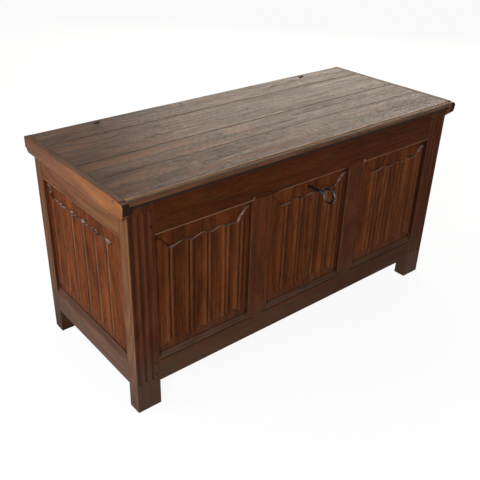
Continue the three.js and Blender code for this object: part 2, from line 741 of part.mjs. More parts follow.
// Nails that hold the cleats to the planks' ends
function lidNails() {
  const group = new THREE.Group();
  for (const [name, side] of [['left', -1], ['right', 1]]) {
    nailPlaces.forEach((y, i) => {
      const shank = rod([0, 0, 0], [-side * nail.length, 0, 0], nail.shankRadius, nail.sides);
      const head = rod([-side * (nailHead.height - nailHead.proud), 0, 0], [side * nailHead.proud, 0, 0],
        nailHead.radius, nail.sides, nail.shankRadius);
      const mesh = piece(`lid_nail_${name}_${i + 1}`, shank.add(head), iron);
      mesh.position.set(side * (carcass.width / 2 + cleat.sideGap + cleat.thickness), y, lidTop - nail.drop);
      group.add(mesh);
    });
  }
  return group;
}

// Hinges of two linked split-pin eyes, one through the lid and one through the back rail
const shankTop = { y: hinge.y - clench.forward - eye.behind, z: lidTop };

function lidShankHoles() {
  const rise = shankTop.z - hinge.z;
  const lean = (hinge.y - shankTop.y) / rise;
  const low = lidUnderside - overrun;
  const high = lidTop + overrun;
  return [-hinge.x, hinge.x].map((x) => rod(
    [x, hinge.y - lean * (low - hinge.z), low], [x, hinge.y - lean * (high - hinge.z), high],
    eye.shank + clearance.fit, eye.sides,
  ));
}

// Notch and shank hole of each hinge, in the axes of the back frame
function hingeCuts() {
  return [-hinge.x, hinge.x].flatMap((x) => [
    block(x - notch.halfWidth, x + notch.halfWidth, -overrun, notch.depth,
      hinge.z - eye.radius - eye.wire - notch.room, carcass.height + overrun),
    rod([x, 0, hinge.z], [x, rail.thickness + overrun, hinge.z], eye.shank + clearance.fit, eye.sides),
  ]);
}

function makeLidEye() {
  const loop = ring([0, hinge.y, hinge.z], axisX, eye.radius, eye.wire, eye.turns, eye.sides);
  const path = new THREE.Vector2(shankTop.y - hinge.y, shankTop.z - hinge.z);
  const start = path.clone().setLength(eye.radius);
  const top = lidTop + clearance.fit + clench.height;
  const end = path.clone().multiplyScalar((lidTop + clearance.fit + clench.height / 2 - hinge.z) / path.y);
  const shank = rod([0, hinge.y + start.x, hinge.z + start.y], [0, hinge.y + end.x, hinge.z + end.y],
    eye.shank, eye.sides);
  const legs = block(
    -clench.reach, clench.reach, shankTop.y - clench.width / 2, shankTop.y + clench.width / 2,
    lidTop + clearance.fit, top,
  );
  return joined([loop, shank, legs]);
}

function makeRailEye() {
  const centre = hinge.y - eye.radius;
  const loop = ring([0, centre, hinge.z], axisZ, eye.radius, eye.wire, eye.turns, eye.sides);
  const inside = carcass.depth / 2 - rail.thickness - clearance.fit;
  const shank = rod([0, centre - eye.radius, hinge.z], [0, inside - clench.height / 2, hinge.z],
    eye.shank, eye.sides);
  const legs = block(-clench.reach, clench.reach, inside - clench.height, inside,
    hinge.z - clench.width / 2, hinge.z + clench.width / 2);
  return joined([loop, shank, legs]);
}

function hinges() {
  const group = new THREE.Group();
  for (const [name, side] of [['left', -1], ['right', 1]]) {
    const lidEye = piece(`lid_eye_${name}`, makeLidEye(), iron);
    const railEye = piece(`rail_eye_${name}`, makeRailEye(), iron);
    lidEye.position.x = side * hinge.x;
    railEye.position.x = side * hinge.x;
    group.add(lidEye, railEye);
  }
  return group;
}

// Depths in the lock, measured from the front face of the chest
const casing = { front: rail.thickness + clearance.fit };
casing.inside = casing.front + lock.wall;
casing.back = casing.front + lock.depth + lock.wall;
const boltLayer = { front: casing.inside + bolt.setBack };
boltLayer.back = boltLayer.front + bolt.thickness;
const boltMiddle = (boltLayer.front + boltLayer.back) / 2;
const curtainLayer = { front: casing.inside + clearance.fit };
curtainLayer.back = curtainLayer.front + curtain.thickness;
const bitLayer = { front: curtainLayer.back + clearance.key };
bitLayer.back = bitLayer.front + key.bitLength;
const tail = { low: keyHeight - talon.belowKey - bolt.tailHeight, high: keyHeight - talon.belowKey };
const caseLow = tail.low - clearance.fit - lock.wall;

// Keyhole: a round hole with a slot for the bit below it
function keyhole(front, back, spare) {
  const slot = key.bitThickness / 2 + spare;
  const hole = rod([0, front - overrun, keyHeight], [0, back + overrun, keyHeight],
    key.shank + spare, lock.sides);
  const bitSlot = block(-slot, slot, front - overrun, back + overrun,
    keyHeight - key.bit - spare, keyHeight);
  return hole.add(bitSlot);
}

// Blocks that keep the bolt in its layer, between two depths
function boltPads(front, back) {
  const { x, z } = studPlace;
  return [
    block(x - stud.pad, x + stud.pad, front, back, z - stud.pad / 2, z + stud.pad / 2),
    block(rest.start, rest.end, front, back, tail.low - clearance.fit - lock.wall / 2, tail.high),
  ];
}

function makeLockCase() {
  const outer = block(-lock.halfWidth, lock.halfWidth, casing.front, casing.back, caseLow, lockTop);
  const hollow = block(
    -lock.halfWidth + lock.wall, lock.halfWidth - lock.wall, casing.inside, casing.back + overrun,
    caseLow + lock.wall, lockTop - lock.wall,
  );
  const slot = block(
    -lug.halfThickness - clearance.moving, lug.halfThickness + clearance.moving,
    boltMiddle - lug.halfWidth - 2 * clearance.moving, boltMiddle + lug.halfWidth + clearance.moving,
    lockTop - lock.wall - overrun, lockTop + overrun,
  );
  const seat = rod([0, casing.inside - lock.wall / 2, keyHeight], [0, curtainLayer.back, keyHeight],
    curtain.radius + clearance.fit + curtain.wall, lock.sides);
  const boreRadius = (curtain.radius + clearance.fit) / Math.cos(Math.PI / lock.sides);
  const seatBore = rod([0, casing.inside, keyHeight], [0, curtainLayer.back + overrun, keyHeight],
    boreRadius, lock.sides);
  const pads = boltPads(casing.inside - lock.wall / 2, boltLayer.front - clearance.fit);
  const { x, z } = studPlace;
  const pin = rod([x, casing.inside, z], [x, boltLayer.back - clearance.fit, z], stud.radius, lock.sides);
  const shell = without(outer, [hollow, slot]);
  const whole = joined([shell, seat, ...pads, pin]);
  return without(whole, [seatBore, keyhole(casing.front, casing.inside, clearance.key)]);
}

function makeLockCover() {
  const front = casing.back + clearance.fit;
  const back = front + lock.wall;
  const plate = block(-lock.halfWidth, lock.halfWidth, front, back, caseLow, lockTop);
  const inside = block(
    -lock.halfWidth, lock.halfWidth, 0, back, caseLow + lock.wall + clearance.fit, lockTop,
  );
  const pads = boltPads(boltLayer.back + clearance.fit, front + lock.wall / 2)
    .map((pad) => pad.intersect(inside));
  const pin = rod([0, front, keyHeight], [0, front - drillPin.reach, keyHeight],
    drillPin.radius, lock.sides);
  return joined([plate, ...pads, pin]);
}

// The bolt is one plate: a tail with the talon, an upright with a slot, and the head
function makeBolt() {
  const webRight = -bolt.left + bolt.web;
  const headTip = -lug.halfThickness - boltHead.gap;
  const talonLow = keyHeight - key.bit - talon.reach;
  const outline = [
    [-bolt.left, tail.low], [bolt.tail, tail.low], [bolt.tail, tail.high], [talon.halfWidth, tail.high],
    [talon.halfWidth, talonLow], [-talon.halfWidth, talonLow], [-talon.halfWidth, tail.high],
    [webRight, tail.high], [webRight, headRange.low], [headTip, headRange.low], [headTip, headRange.high],
    [-bolt.left, headRange.high],
  ];
  const plate = alongY(outline, boltLayer.front, boltLayer.back);
  const { x, z } = studPlace;
  const thrown = x - bolt.throw;
  const half = stud.radius + clearance.key;
  const slot = joined([
    rod([x, 0, z], [x, casing.back, z], half, lock.sides),
    rod([thrown, 0, z], [thrown, casing.back, z], half, lock.sides),
    block(thrown, x, 0, casing.back, z - half, z + half),
  ]);
  return plate.subtract(slot);
}

function makeCurtain() {
  const disc = rod([0, curtainLayer.front, keyHeight], [0, curtainLayer.back, keyHeight],
    curtain.radius, lock.sides);
  return disc.subtract(keyhole(curtainLayer.front, curtainLayer.back, clearance.key / 2));
}

// Barrel key with a ring bow, its bit hanging down as it does when it goes in
function makeKey() {
  const z = keyHeight;
  const shankStart = -bow.centre + bow.radius;
  const shank = rod([0, shankStart, z], [0, bitLayer.back, z], key.shank, lock.sides);
  const collar = rod([0, shankStart + bow.wire, z], [0, shankStart + bow.wire + bow.collarLength, z],
    key.collar, lock.sides);
  const loop = ring([0, -bow.centre, z], axisX, bow.radius, bow.wire, bow.turns, bow.sides);
  const half = key.bitThickness / 2;
  const bit = block(-half, half, bitLayer.front, bitLayer.back, z - key.bit, z);
  const cuts = [boltLayer.front - key.wardCut, boltLayer.back + key.wardCut].map((y) =>
    block(-key.bitThickness, key.bitThickness, y - key.wardCut / 2, y + key.wardCut / 2,
      z - key.bit - overrun, z - key.bit + key.wardDepth));
  const bore = rod([0, casing.back - drillPin.reach - clearance.fit, z], [0, bitLayer.back + overrun, z],
    drillPin.radius + clearance.fit, lock.sides);
  return without(joined([shank, collar, loop, without(bit, cuts)]), [bore]);
}

// Catch under the lid, with an eye that the bolt enters
function makeCatch() {
  const top = lidUnderside - clearance.fit;
  const plateFront = rail.thickness + clearance.end;
  const plate = block(
    -catchPlate.halfLength, catchPlate.halfLength, plateFront, plateFront + catchPlate.width,
    top - catchPlate.thickness, top,
  );
  const low = headRange.low - clearance.moving - lug.rim;
  const tongue = block(
    -lug.halfThickness, lug.halfThickness, boltMiddle - lug.halfWidth, boltMiddle + lug.halfWidth,
    low, top - catchPlate.thickness / 2,
  );
  const eyeCut = block(-lug.halfThickness - overrun, lug.halfThickness + overrun,
    boltMiddle - lug.eyeHalfWidth, boltMiddle + lug.eyeHalfWidth,
    headRange.low - clearance.moving, headRange.high + clearance.moving);
  return plate.add(tongue).subtract(eyeCut);
}

function lockAndKey() {
  const group = new THREE.Group();
  group.add(piece('lock_case', makeLockCase(), iron));
  group.add(piece('lock_cover', makeLockCover(), iron));
  group.add(piece('lock_bolt', makeBolt(), iron));
  group.add(piece('lock_curtain', makeCurtain(), iron));
  group.add(piece('key', makeKey(), iron));
  group.add(piece('lid_catch', makeCatch(), iron));
  group.position.y = frontFace;
  return group;
}

// The whole chest, moved so that its origin is under the middle of its bounding box
const chest = new THREE.Group();
chest.add(posts(), frontFrame(), backFrame(), endFrame('left', -1), endFrame('right', 1), pegs());
chest.add(floorBoards(), lidPlanks(), lidCleats(), lidNails(), hinges(), lockAndKey());
const bounds = new THREE.Box3().setFromObject(chest, true);
chest.position.y = -(bounds.min.y + bounds.max.y) / 2;

export default chest;
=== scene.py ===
"""Look of an old joined oak coffer chest with linenfold panels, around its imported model."""
import itertools
import json
import math

import bpy
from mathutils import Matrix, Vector

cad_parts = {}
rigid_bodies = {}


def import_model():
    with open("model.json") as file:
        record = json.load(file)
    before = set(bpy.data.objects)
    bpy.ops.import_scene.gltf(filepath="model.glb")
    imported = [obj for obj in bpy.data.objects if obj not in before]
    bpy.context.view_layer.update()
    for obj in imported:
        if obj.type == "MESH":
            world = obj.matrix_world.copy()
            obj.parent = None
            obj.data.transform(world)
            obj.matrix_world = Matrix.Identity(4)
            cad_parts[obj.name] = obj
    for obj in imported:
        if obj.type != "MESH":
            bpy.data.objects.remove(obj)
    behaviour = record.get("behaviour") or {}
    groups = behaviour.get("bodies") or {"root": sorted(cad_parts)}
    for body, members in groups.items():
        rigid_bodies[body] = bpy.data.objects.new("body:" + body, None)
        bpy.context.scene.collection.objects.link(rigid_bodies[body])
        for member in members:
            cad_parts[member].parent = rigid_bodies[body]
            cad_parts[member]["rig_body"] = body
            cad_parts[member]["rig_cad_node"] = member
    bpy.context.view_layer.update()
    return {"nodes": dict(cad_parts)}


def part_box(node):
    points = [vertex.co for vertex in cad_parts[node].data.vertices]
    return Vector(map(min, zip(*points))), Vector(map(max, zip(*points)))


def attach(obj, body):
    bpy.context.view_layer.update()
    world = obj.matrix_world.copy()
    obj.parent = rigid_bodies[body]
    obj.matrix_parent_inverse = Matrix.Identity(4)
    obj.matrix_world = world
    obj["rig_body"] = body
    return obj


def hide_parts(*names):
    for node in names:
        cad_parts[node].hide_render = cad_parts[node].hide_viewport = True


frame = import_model()

X, Y, Z = Vector((1, 0, 0)), Vector((0, 1, 0)), Vector((0, 0, 1))
WHITE = (1, 1, 1, 1)
SIDES = (("left", -1), ("right", 1))
COLUMNS = ("left", "middle", "right")

# The chest's own measures, in metres
FRONT = -0.224325  # its front face
END = 0.65  # its end faces, from the middle
PLANKS_FROM = FRONT + 0.01  # behind this the lid is plain, before it is moulded
LID_TOP = 0.6948
LID_END = 0.671
LIP = -0.2185  # the back of the lid's front edge strip, worn and painted with a highlight
LIP_FOOT = 0.6921
FOOT_TOP = 0.18
# Heights from and to which its mouldings reach
HEM = (0.508, 0.572)  # the upper end of the carving
OPENING = (0.17, 0.575)  # the panels' frames, between the rails
RAIL_BEAD = (0.5690, 0.5752)
SILL_SLOPE = (0.1625, 0.1755)
SILL_QUIRK = (0.1574, 0.1601)
TORUS = (0.6835, 0.6923)  # the round of the lid's front edge, over its cove
BIG_CHIP = (0.203, 0.221)  # from and to where the left end's hem is chipped most, along Y
MOULDED = 0.006  # how far behind the front face the uprights' mouldings reach
PANEL_SPREAD = 0.575  # from the middle to the far edge of the outer front panels

# Camera at the height of someone standing before the left front corner
CAMERA_AT = Vector((-1.35127, -1.46663, 1.39855))
CAMERA_TURN, CAMERA_DIP, CAMERA_ROLL = (math.radians(a) for a in (39.065, 29.368, 1.156))
CAMERA_LENS, CAMERA_SHIFT = 49.05, (0.0328, -0.0125)


# ---- Small helpers for work in the viewport's own operators

def pick(*objects):
    """Selects these objects alone, the first of them active."""
    bpy.ops.object.select_all(action="DESELECT")
    for chosen in objects:
        chosen.select_set(True)
    bpy.context.view_layer.objects.active = objects[0]


def open_mesh(piece):
    """Edit mode on one piece, all of its vertices selected."""
    pick(piece)
    bpy.ops.object.mode_set(mode="EDIT")
    bpy.ops.mesh.select_mode(type="VERT")
    bpy.ops.mesh.select_all(action="SELECT")


def close_mesh():
    bpy.ops.object.mode_set(mode="OBJECT")


def smoothed(piece, degrees):
    """Smooth shading up to an angle between faces."""
    pick(piece)
    bpy.ops.object.shade_smooth_by_angle(angle=math.radians(degrees))


def modify(piece, kind, **settings):
    """Adds a modifier, sets it and applies it."""
    pick(piece)
    modifier = piece.modifiers.new(kind.title(), kind)
    for key, value in settings.items():
        setattr(modifier, key, value)
    bpy.ops.object.modifier_apply(modifier=modifier.name)


def rounded(piece, width, degrees, **settings):
    """Rounds the edges that are sharper than an angle."""
    modify(piece, "BEVEL", width=width, segments=2, limit_method="ANGLE", angle_limit=math.radians(degrees),
           **settings)


def combined(piece, other, operation):
    modify(piece, "BOOLEAN", operation=operation, object=other, solver="EXACT")
    bpy.data.objects.remove(other)


def clouds(name, size):
    texture = bpy.data.textures.new(name, "CLOUDS")
    texture.noise_scale = size
    return texture


def displaced(piece, texture, reach, **settings):
    modify(piece, "DISPLACE", texture=texture, strength=reach, mid_level=0.5, texture_coords="LOCAL",
           **settings)


def finish_in(piece, material, count=1):
    """Gives a piece one material, in as many slots as its modifiers need."""
    piece.data.materials.clear()
    for _ in range(count):
        piece.data.materials.append(material)


def settle(piece, body, slot, material, *nodes):
    """Puts a finished piece on its body, in its finish, in place of its nodes."""
    pick(piece)
    bpy.ops.object.transform_apply(location=True, rotation=True, scale=True)
    finish_in(piece, material)
    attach(piece, body)
    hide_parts(*nodes)


# ---- Shader building

def feed(tree, socket, value):
    """Links a socket to a value that is an output of a node, and sets it to any other."""
    if isinstance(value, bpy.types.NodeSocket):
        tree.links.new(value, socket)
    else:
        socket.default_value = value


def put(tree, kind, values=None, **settings):
    """Adds a shader node with its settings and the values of its inputs."""
    node = tree.nodes.new("ShaderNode" + kind)
    for key, value in settings.items():
        setattr(node, key, value)
    for key, value in (values or {}).items():
        feed(tree, node.inputs[key], value)
    return node


def maths(tree, operation, *values, clamp=False):
    return put(tree, "Math", dict(enumerate(values)), operation=operation, use_clamp=clamp).outputs[0]


def ranged(tree, value, low, high, to_low=0.0, to_high=1.0):
    values = {"Value": value, "From Min": low, "From Max": high, "To Min": to_low, "To Max": to_high}
    return put(tree, "MapRange", values).outputs[0]


def weighed(tree, one, one_share, other, other_share):
    """The sum of two values, each times its share."""
    parts = [maths(tree, "MULTIPLY", value, share) for value, share in ((one, one_share), (other, other_share))]
    return maths(tree, "ADD", *parts)


def mixed(tree, share, first, second, blend="MIX"):
    node = put(tree, "Mix", data_type="RGBA", blend_type=blend)
    for key, value in ((0, share), (6, first), (7, second)):
        feed(tree, node.inputs[key], (*value, 1) if isinstance(value, tuple) else value)
    return node.outputs[2]


def laid(tree, colour, mask, share, over):
    """A colour with another laid over it where a mask is, in a share."""
    return mixed(tree, maths(tree, "MULTIPLY", mask, share), colour, over)


def dimmed(tree, colour, level):
    """A colour times a level of grey."""
    grey = put(tree, "CombineColor", {"Red": level, "Green": level, "Blue": level}).outputs[0]
    return mixed(tree, 1.0, colour, grey, "MULTIPLY")


def cloud(tree, vector, scale, detail, roughness, stretch=None):
    """Noise, finer across than along when it is stretched."""
    if stretch:
        vector = put(tree, "Mapping", {"Vector": vector, "Scale": stretch}).outputs[0]
    values = {"Vector": vector, "Scale": scale, "Detail": detail, "Roughness": roughness}
    return put(tree, "TexNoise", values).outputs["Fac"]


def marked(tree, name, output="Fac"):
    """What a piece's own attribute says."""
    return put(tree, "Attribute", attribute_name=name).outputs[output]


def object_place(tree):
    return put(tree, "TexCoord").outputs["Object"]


def bumped(tree, shader, height, strength, distance):
    bump = put(tree, "Bump", {"Height": height, "Strength": strength, "Distance": distance})
    tree.links.new(bump.outputs[0], shader.inputs["Normal"])


def group(name, inputs, outputs, build):
    """A node group with named sockets; build returns the outputs in order."""
    tree = bpy.data.node_groups.new(name, "ShaderNodeTree")
    for label, kind, value in inputs:
        socket = tree.interface.new_socket(label, in_out="INPUT", socket_type="NodeSocket" + kind)
        if value is not None:
            socket.default_value = value
    for label in outputs:
        tree.interface.new_socket(label, in_out="OUTPUT", socket_type="NodeSocketFloat")
    entry, end = tree.nodes.new("NodeGroupInput"), tree.nodes.new("NodeGroupOutput")
    for label, socket in zip(outputs, build(tree, entry.outputs)):
        tree.links.new(socket, end.inputs[label])
    return tree


def placed(tree, made, values):
    """A node group in a material; returns its outputs."""
    node = tree.nodes.new("ShaderNodeGroup")
    node.node_tree = made
    for key, value in values.items():
        feed(tree, node.inputs[key], value)
    return node.outputs


def grain_nodes(tree, given):
    """Oak grain that runs along X: broad and fine streaks, squiggled figure, open pores and ray flecks."""
    vector = given["Vector"]
    broad = cloud(tree, vector, 1.0, 3.0, 0.55, stretch=(0.8, 44, 44))
    fine = cloud(tree, vector, 1.0, 3.0, 0.6, stretch=(2.2, 230, 230))
    streak = weighed(tree, broad, 0.4, fine, 0.6)
    body = cloud(tree, vector, 1.0, 2.0, 0.4, stretch=(0.9, 7, 7))
    squiggle = maths(tree, "MULTIPLY", cloud(tree, vector, 1.0, 2.0, 0.5, stretch=(60, 90, 90)), 0.035)
    rings = maths(tree, "SINE", maths(tree, "MULTIPLY", maths(tree, "ADD", body, squiggle), given["Rings"]))
    figure = ranged(tree, rings, -1.0, 1.0)
    pore = ranged(tree, cloud(tree, vector, 1.0, 2.0, 0.6, stretch=(26, 560, 560)), 0.55, 0.68)
    fleck = ranged(tree, cloud(tree, vector, 1.0, 1.0, 0.4, stretch=(26, 150, 150)), 0.66, 0.74)
    return streak, figure, pore, fleck


def age_nodes(tree, given):
    """What use leaves on wood: patches drawn out along X, fine dirt, and scratches across the grain."""
    vector = given["Vector"]
    patch = cloud(tree, vector, 1.0, 4.0, 0.6, stretch=(2.2, 9, 9))
    dirt = cloud(tree, vector, 1.0, 6.0, 0.7, stretch=(24, 70, 70))
    bent = put(tree, "Mapping", {"Vector": vector, "Rotation": (0.1, 0.2, 0.5)}).outputs[0]
    scratch = ranged(tree, cloud(tree, bent, 1.0, 2.0, 0.5, stretch=(9, 260, 260)), 0.69, 0.73)
    return patch, dirt, scratch


def wear_and_shade_nodes(tree, given):
    """Rubbed arrises, dusty ledges, chips, and grime together with painted shade, from a piece's own attributes,
    broken up by noise.
    """
    vector = given["Vector"]
    broken = cloud(tree, vector, 26.0, 4.0, 0.6)
    speckled = cloud(tree, vector, 120.0, 2.0, 0.5)
    masks = []
    for attribute, noise, low, high in (("arris", broken, 0.36, 0.62), ("ledge", broken, 0.36, 0.52),
                                        ("chip", speckled, 0.50, 0.56), ("grime_and_shade", broken, 0.10, 0.40)):
        there = ranged(tree, noise, low, high)
        masks.append(maths(tree, "MULTIPLY", marked(tree, attribute), there, clamp=True))
    return masks


VECTOR_IN = ("Vector", "Vector", None)
RINGS = 80.0  # radians of growth rings to one unit of noise
GRAIN = group("Oak grain", (VECTOR_IN, ("Rings", "Float", RINGS)), ("Streak", "Figure", "Pore", "Fleck"),
              grain_nodes)
AGE = group("Age", (VECTOR_IN,), ("Patch", "Dirt", "Scratch"), age_nodes)
WEAR_AND_SHADE = group("Wear and shade", (VECTOR_IN,), ("Edge", "Ledge", "Chip", "Grime and shade"), wear_and_shade_nodes)


def start_material(name):
    material = bpy.data.materials.new(name)
    material.use_nodes = True
    tree = material.node_tree
    return material, tree, tree.nodes["Principled BSDF"]


# ---- Oak

# Rotations of the object coordinates after which X runs along the grain
GRAIN_TURN = {"X": (0, 0, 0), "Y": (0, 0, -math.pi / 2), "Z": (0, math.pi / 2, 0)}

FLOOR_DUST = (0.068, 0.045, 0.033)
LEDGE_DUST = (0.27, 0.205, 0.170)
BARE_CHIP = (0.74, 0.69, 0.64)
WARMER, COOLER = (1.10, 0.93, 0.86), (0.92, 1.07, 1.12)  # what the fine mottling multiplies a colour by

# Places on the lid's top. Rubbed patches: x, y, half length, half width and strength
RUBBED_LID = (0.190, 0.068, 0.022)
RUBBED = (
    (-0.46, -0.004, 0.230, 0.021, 0.55),
    (-0.125, -0.010, 0.062, 0.030, 0.5),
    (-0.52, -0.125, 0.120, 0.022, 0.4),
    (-0.28, -0.060, 0.140, 0.018, 0.4),
    (-0.40, 0.060, 0.160, 0.020, 0.3),
    (-0.60, 0.150, 0.050, 0.012, 0.5),
    (-0.20, -0.185, 0.300, 0.014, 0.35),
    (0.30, -0.120, 0.160, 0.020, 0.2),
)
# Knots: x, y and radius
KNOTS = (
    (-0.307, 0.156, 0.009),
    (-0.195, -0.007, 0.010),
    (-0.609, -0.144, 0.007),
    (0.05, 0.21, 0.007),
    (0.31, -0.05, 0.008),
)
KNOT_LENGTH, KNOT_SHARE = 1.7, 0.8  # length to one of width, and how dark
# The squiggled figure in the back plank: x, y, half length and half width
FIGURED = (-0.155, 0.262, 0.130, 0.040)
FIGURE_RINGS = 330.0
TOP_ONLY = 80.0  # fades a mark out below the lid's top, in 1 / metres


def spot(tree, place, x, y, half_length, half_width):
    """A soft-edged mask round a place on the lid, drawn out along the planks."""
    apart = put(tree, "VectorMath", {0: place, 1: (x, y, LID_TOP)}, operation="SUBTRACT").outputs[0]
    drawn = put(tree, "VectorMath", {0: apart, 1: (1 / half_length, 1 / half_width, TOP_ONLY)},
                operation="MULTIPLY").outputs[0]
    away = put(tree, "VectorMath", {0: drawn}, operation="LENGTH").outputs["Value"]
    ragged = maths(tree, "ADD", away, cloud(tree, drawn, 1.6, 4.0, 0.6))
    return ranged(tree, ragged, 1.7, 1.15)


def top_marks(tree, place, along_grain, colour, grime_and_shade):
    """What the lid's top has in its own places: rubbed patches, knots and one squiggled figure."""
    for *where, share in RUBBED:
        colour = laid(tree, colour, spot(tree, place, *where), share, RUBBED_LID)
    for x, y, radius in KNOTS:
        knot = spot(tree, place, x, y, KNOT_LENGTH * radius, radius)
        colour = laid(tree, colour, knot, KNOT_SHARE, grime_and_shade)
    squiggle = placed(tree, GRAIN, {"Vector": along_grain, "Rings": FIGURE_RINGS})["Figure"]
    return laid(tree, colour, spot(tree, place, *FIGURED), ranged(tree, squiggle, 0.55, 0.9, 0.0, 0.5), grime_and_shade)


def dusty_foot(tree, place, age):
    """Where the wood is greyed by the floor: strongest on the feet, gone above the bottom rails."""
    height = put(tree, "SeparateXYZ", {"Vector": place}).outputs["Z"]
    low = ranged(tree, height, 0.24, 0.07)
    return maths(tree, "MULTIPLY", low, ranged(tree, age["Patch"], 0.3, 0.62, 0.25, 0.8), clamp=True)


def oak_colour(tree, tones, contrast, top, places, grain, age, wear):
    """Base colour of a board, from its grain up to the dirt, the wear and the painted light and shade on it."""
    light, dark, worn, grime_and_shade = tones
    place, along_grain = places
    tone = weighed(tree, grain["Streak"], 0.82, grain["Figure"], 0.18)
    colour = mixed(tree, ranged(tree, tone, 0.5 - contrast, 0.5 + contrast), dark, light)
    shade = ranged(tree, marked(tree, "board", "Alpha"), 0.0, 1.0, 0.88, 1.12)
    blotch = ranged(tree, age["Patch"], 0.3, 0.7, 0.78, 1.22)
    colour = dimmed(tree, colour, maths(tree, "MULTIPLY", shade, blotch))
    colour = laid(tree, colour, grain["Fleck"], 0.3, light)
    colour = laid(tree, colour, grain["Pore"], 0.6, grime_and_shade)
    colour = mixed(tree, ranged(tree, age["Dirt"], 0.56, 0.72, 0.0, 0.55), colour, grime_and_shade)
    if top:
        colour = top_marks(tree, place, along_grain, colour, grime_and_shade)
    grained = dimmed(tree, marked(tree, "tint", "Color"), ranged(tree, tone, 0.36, 0.64, 0.72, 1.28))
    colour = laid(tree, colour, marked(tree, "tinted"), ranged(tree, age["Patch"], 0.3, 0.7, 0.7, 1.0), grained)
    colour = mixed(tree, dusty_foot(tree, place, age), colour, FLOOR_DUST)
    colour = laid(tree, colour, age["Scratch"], 0.3, worn)
    colour = laid(tree, colour, wear["Edge"], 0.65, worn)
    colour = mixed(tree, wear["Grime and shade"], colour, grime_and_shade)
    colour = mixed(tree, wear["Ledge"], colour, LEDGE_DUST)
    colour = mixed(tree, wear["Chip"], colour, BARE_CHIP)
    mottled = mixed(tree, ranged(tree, age["Dirt"], 0.38, 0.62), WARMER, COOLER)
    return mixed(tree, 1.0, colour, mottled, "MULTIPLY")


def oak(name, along, tones, roughness=0.5, specular=0.035, contrast=0.2, shortened=1.0, top=False):
    """Waxed old oak. Every board has its own shade and stretch of grain, from the attribute that names it."""
    material, tree, shader = start_material(name)
    place = object_place(tree)
    own = put(tree, "VectorMath", {0: place, 1: marked(tree, "board", "Vector")}, operation="ADD").outputs[0]
    along_grain = put(tree, "Mapping", {"Vector": own, "Rotation": GRAIN_TURN[along],
                                        "Scale": (shortened, 1, 1)}).outputs[0]
    grain = placed(tree, GRAIN, {"Vector": along_grain})
    age = placed(tree, AGE, {"Vector": along_grain})
    wear = placed(tree, WEAR_AND_SHADE, {"Vector": own})
    colour = oak_colour(tree, tones, contrast, top, (place, along_grain), grain, age, wear)
    tree.links.new(colour, shader.inputs["Base Color"])
    dull = maths(tree, "MAXIMUM", wear["Ledge"], wear["Grime and shade"])
    gloss = ranged(tree, grain["Streak"], 0.64, 0.36, roughness - 0.05, roughness + 0.14)
    unwaxed = maths(tree, "MULTIPLY", maths(tree, "ADD", grain["Pore"], dull), 0.25)
    tree.links.new(maths(tree, "ADD", gloss, unwaxed, clamp=True), shader.inputs["Roughness"])
    shader.inputs["Specular IOR Level"].default_value = specular
    height = maths(tree, "SUBTRACT", weighed(tree, grain["Streak"], 0.7, age["Dirt"], 0.7),
                   weighed(tree, grain["Pore"], 0.5, age["Scratch"], 0.4))
    bumped(tree, shader, height, 0.65, 0.0017)
    return material


# Tones of each kind of board: light grain, dark grain, worn wood, and grime, which also serves as painted shade
RAIL_TONES = (
    (0.077, 0.0205, 0.0052), (0.046, 0.0120, 0.0033), (0.170, 0.078, 0.038), (0.008, 0.0035, 0.002))
FRAME_TONES = (
    (0.086, 0.0230, 0.0070), (0.044, 0.0115, 0.0036), (0.180, 0.080, 0.038), (0.009, 0.004, 0.0025))
PANEL_TONES = (
    (0.108, 0.0300, 0.0090), (0.050, 0.0130, 0.0040), (0.230, 0.110, 0.055), (0.010, 0.004, 0.0025))
LID_TONES = (
    (0.107, 0.0495, 0.0205), (0.051, 0.0225, 0.0092), (0.25, 0.160, 0.10), (0.018, 0.010, 0.006))
CLEAT_TONES = (
    (0.175, 0.058, 0.0170), (0.095, 0.032, 0.0100), (0.30, 0.160, 0.085), (0.016, 0.008, 0.005))
PLAIN_TONES = (
    (0.20, 0.112, 0.060), (0.095, 0.050, 0.027), (0.32, 0.22, 0.14), (0.035, 0.022, 0.014))

OAK = {
    "frame_Y": oak("Waxed frame oak, grain Y", "Y", FRAME_TONES),
    "frame_Z": oak("Waxed frame oak, grain Z", "Z", FRAME_TONES),
    "frame_X": oak("Waxed rail oak", "X", RAIL_TONES, specular=0.022, contrast=0.27),
    "panel": oak("Linenfold oak", "Z", PANEL_TONES, contrast=0.17, specular=0.02),
    "lid_X": oak("Lid oak", "X", LID_TONES, roughness=0.35, specular=0.06, contrast=0.165, shortened=2.4,
                 top=True),
    "lid_Y": oak("Lid end oak", "Y", CLEAT_TONES, roughness=0.42, specular=0.06),
    "plain_X": oak("Dry oak, grain X", "X", PLAIN_TONES, roughness=0.8),
    "plain_Y": oak("Dry oak, grain Y", "Y", PLAIN_TONES, roughness=0.8),
}


# ---- Wooden pieces: each is its solid, merged, with worn arrises and a slight wave

SAME_PLACE = 1e-6  # vertices that are closer are one
SAME_PLANE = 0.7  # degrees between faces up to which they are one flat face
ARRIS_ANGLE = 40  # degrees between faces from which an edge is worn
SMOOTH_WOOD = 32  # degrees up to which a face is shaded into the next
HOLLOW = 0.62  # painted shade and some dirt in an inner corner
CRACK_WIDTH, CRACK_DEPTH, CRACK_WANDER = 0.0013, 0.004, 0.007
CRACK_PITCH = 0.006  # between the places where it bends
CRACK_POINT = 0.002  # what is nearer to an end is drawn to a point
PLANING = clouds("Hand planing", 0.16)
WANDERING = clouds("Wandering", 0.03)
# Steps that never fall into a pattern, for a board's shift along the three axes and for its shade
SHIFT_STEPS, SHADE_STEP = (0.618034, 0.754878, 0.569840), 0.381966
boards = itertools.count(1)  # a board's number gives it its grain and its shade


